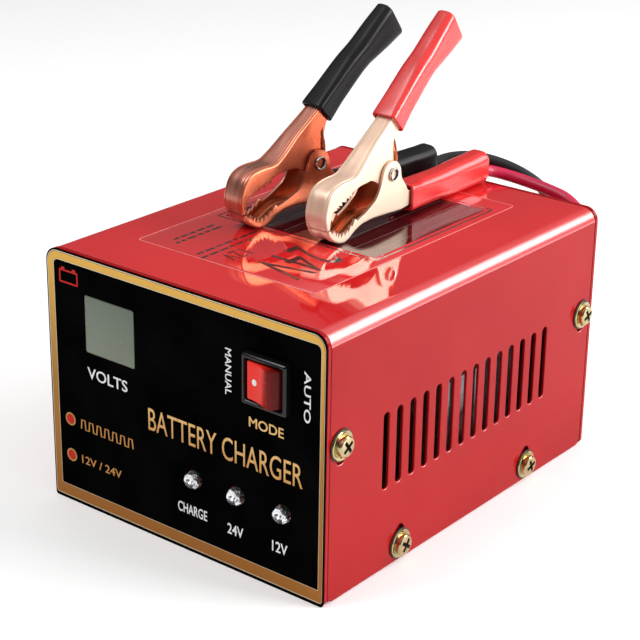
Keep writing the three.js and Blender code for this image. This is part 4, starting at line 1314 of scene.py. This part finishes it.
def add_clamp(colour):
    place = clamp_place(colour)
    arm = f"{colour}_clamp_arm"
    # Each clamp's copper is a copy coloured by painted reflection.
    copper, vinyl = f"copper_{colour}", f"vinyl_{colour}"
    coil_points, leg_points = spring_paths()
    upper_jaw = channel(UPPER_STATIONS, UPPER_TEETH, UPPER_PLAN)
    lower_jaw = channel(LOWER_STATIONS, LOWER_TEETH, LOWER_PLAN, 0.7)
    parts = [
        ("upper_jaw", upper_jaw, copper, 35, arm, "copper_inside_painted_shade"),
        ("lower_jaw", lower_jaw, copper, 35, "case", "copper_inside_painted_shade"),
        # The rivet's bore takes the painted shade.
        ("rivet", rivet(), "steel", 35, "case", "painted_shade_dark"),
        ("upper_grip", grip(UPPER_GRIP, 0.6, 0.2), vinyl, 50, arm, None),
        ("lower_grip", grip(LOWER_GRIP, 1.9, 0.25), vinyl, 50, "case", None),
        ("spring", tube("spring", coil_points, SPRING_WIRE, 3), "steel", 60, "case", None),
    ]
    for part, obj, look, smooth, body, second in parts:
        node = f"{colour}_clamp_{part}"
        obj.name = f"{node}_skin"
        obj.data.transform(place)
        settle(obj, look, [node], smooth, body, second)
        # The faces along the spine take their own copy of the copper: painted light.
        if look == copper:
            repaint(obj, f"{copper}_spine_painted_light", lambda normal: abs(normal.x) < 0.5)
    leg = tube(f"{colour}_clamp_spring_leg", leg_points, SPRING_WIRE, 3)
    leg.data.transform(place)
    settle(leg, "steel", body=arm)


# ---- Rear wall and inside

def rear_place(x, z):
    """Puts a piece that points along +z on the rear wall."""
    return shift(x, REAR, z) @ rotation(-90, "X")


def add_rear_pieces():
    gland = [
        (3.6, -5), (5.8, -5), (5.8, 0.02), (7.7, 0.02), (8, 0.3), (8, 2.1), (7.7, 2.5),
        (6.4, 4.4), (5.8, 4.9), (4, 5), (3.6, 4.7),
    ]
    ring = lofted("gland_ring", turned(gland, 48), looped=True)
    ring.data.transform(rear_place(*GLAND))
    settle(ring, "black_plastic", ["mains_cord_gland"], 40)
    grommet = [
        (0, -3.4), (2.6, -3.4), (4.6, -2.3), (4.6, -1.5), (3.1, -1.5), (3.1, 0.02), (4.4, 0.02),
        (4.6, 0.25), (4.6, 1.3), (4.4, 1.6), (3.4, 2.2), (3.3, 2.6), (3.2, 4.6), (3, 4.95),
        (2.1, 5), (0, 5),
    ]
    for colour, place in GROMMETS.items():
        mesh = lathe_mesh("grommet", grommet)
        mesh.transform(rear_place(*place))
        node = f"lead_grommet_{colour}"
        settle(link(f"{node}_skin", mesh), "grommet_rubber", [node], 40)


INSIDE = {
    "black_plastic": [
        "display_module", "input_capacitor", "output_capacitor", "switching_transistor",
        "rectifier_diode", "relay"],
    "circuit_green": ["circuit_board"],
    "nylon": [f"standoff_{end}_{side}" for end in ("front", "rear") for side in ("left", "right")],
    "ferrite": ["transformer_core"],
    "winding": ["transformer_winding"],
    "aluminium": ["heat_sink"],
    "lamp_clear": ["mains_fuse"],
}


def dress_inside():
    for look, nodes in INSIDE.items():
        for node in nodes:
            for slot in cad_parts[node].material_slots:
                slot.material = LOOKS[look]


# ---- Stage

# Soft lights, as (name, place, target, size, watts)
LIGHTS = [
    ("key", (-0.35, -0.45, 0.9), (0, 0, 0.06), (0.5, 0.5), 4.6),
    ("side", (0.75, 0.3, 0.34), (0, 0, 0.1), (0.4, 0.3), 6.3),
    ("rim", (0.62, 0.86, 0.6), (0.05, 0, 0.08), (0.6, 0.6), 6.5),
]


def add_light(name, place, target, size, power):
    data = bpy.data.lights.new(name, "AREA")
    data.shape = "RECTANGLE"
    data.size, data.size_y = size
    data.energy = power
    light = link(name, data)
    light.location = place
    light.rotation_euler = (Vector(target) - Vector(place)).to_track_quat("-Z", "Y").to_euler()


def add_stage():
    size = 8.0
    corners = [(-size, -size, 0), (size, -size, 0), (size, size, 0), (-size, size, 0)]
    floor = link("floor", mesh_of("floor", corners, [(0, 1, 2, 3)], 1))
    look, tree, shader, place = node_look("floor")
    tones = [(0.3, (0.91, 0.91, 0.91)), (0.7, (0.93, 0.93, 0.93))]
    colour_by(tree, shader, noise_node(tree, place, 3), tones)
    fill(shader, {"Roughness": 0.7, "Emission_Color": (1, 1, 1, 1), "Emission_Strength": 0.13})
    floor.data.materials.append(look)
    world = bpy.data.worlds.new("world")
    world.use_nodes = True
    dome = world.node_tree
    height = axis_node(dome, new_node(dome, "TexCoord").outputs["Generated"])
    glow = [(0, 0.4), (0.08, 0.16), (0.5, 0.15), (0.72, 0.8), (1, 1.15)]
    background = dome.nodes["Background"]
    sky = ramp_node(dome, height, [(at, (grey, grey, grey)) for at, grey in glow])
    dome.links.new(sky, background.inputs["Color"])
    background.inputs["Strength"].default_value = 0.8
    bpy.context.scene.world = world
    bpy.context.scene.view_settings.view_transform = "Standard"
    for values in LIGHTS:
        add_light(*values)


# ---- The whole charger

add_camera()
ties = [add_tie(name, angle) for name, angle in TIE_ANGLES.items()]
add_lead("red", RED_OUT, RED_UP, COIL["floor"])
add_lead("black", BLACK_OUT, BLACK_UP, COIL["floor"] + COIL["layer"])
add_cover()
add_chassis()
add_label()
add_words()
add_marks()
add_display()
add_switch()
add_rocker()
add_lamps()
add_screws()
add_sticker()
for clamp_colour in CLAMPS:
    add_clamp(clamp_colour)
add_rear_pieces()
dress_inside()
add_stage()
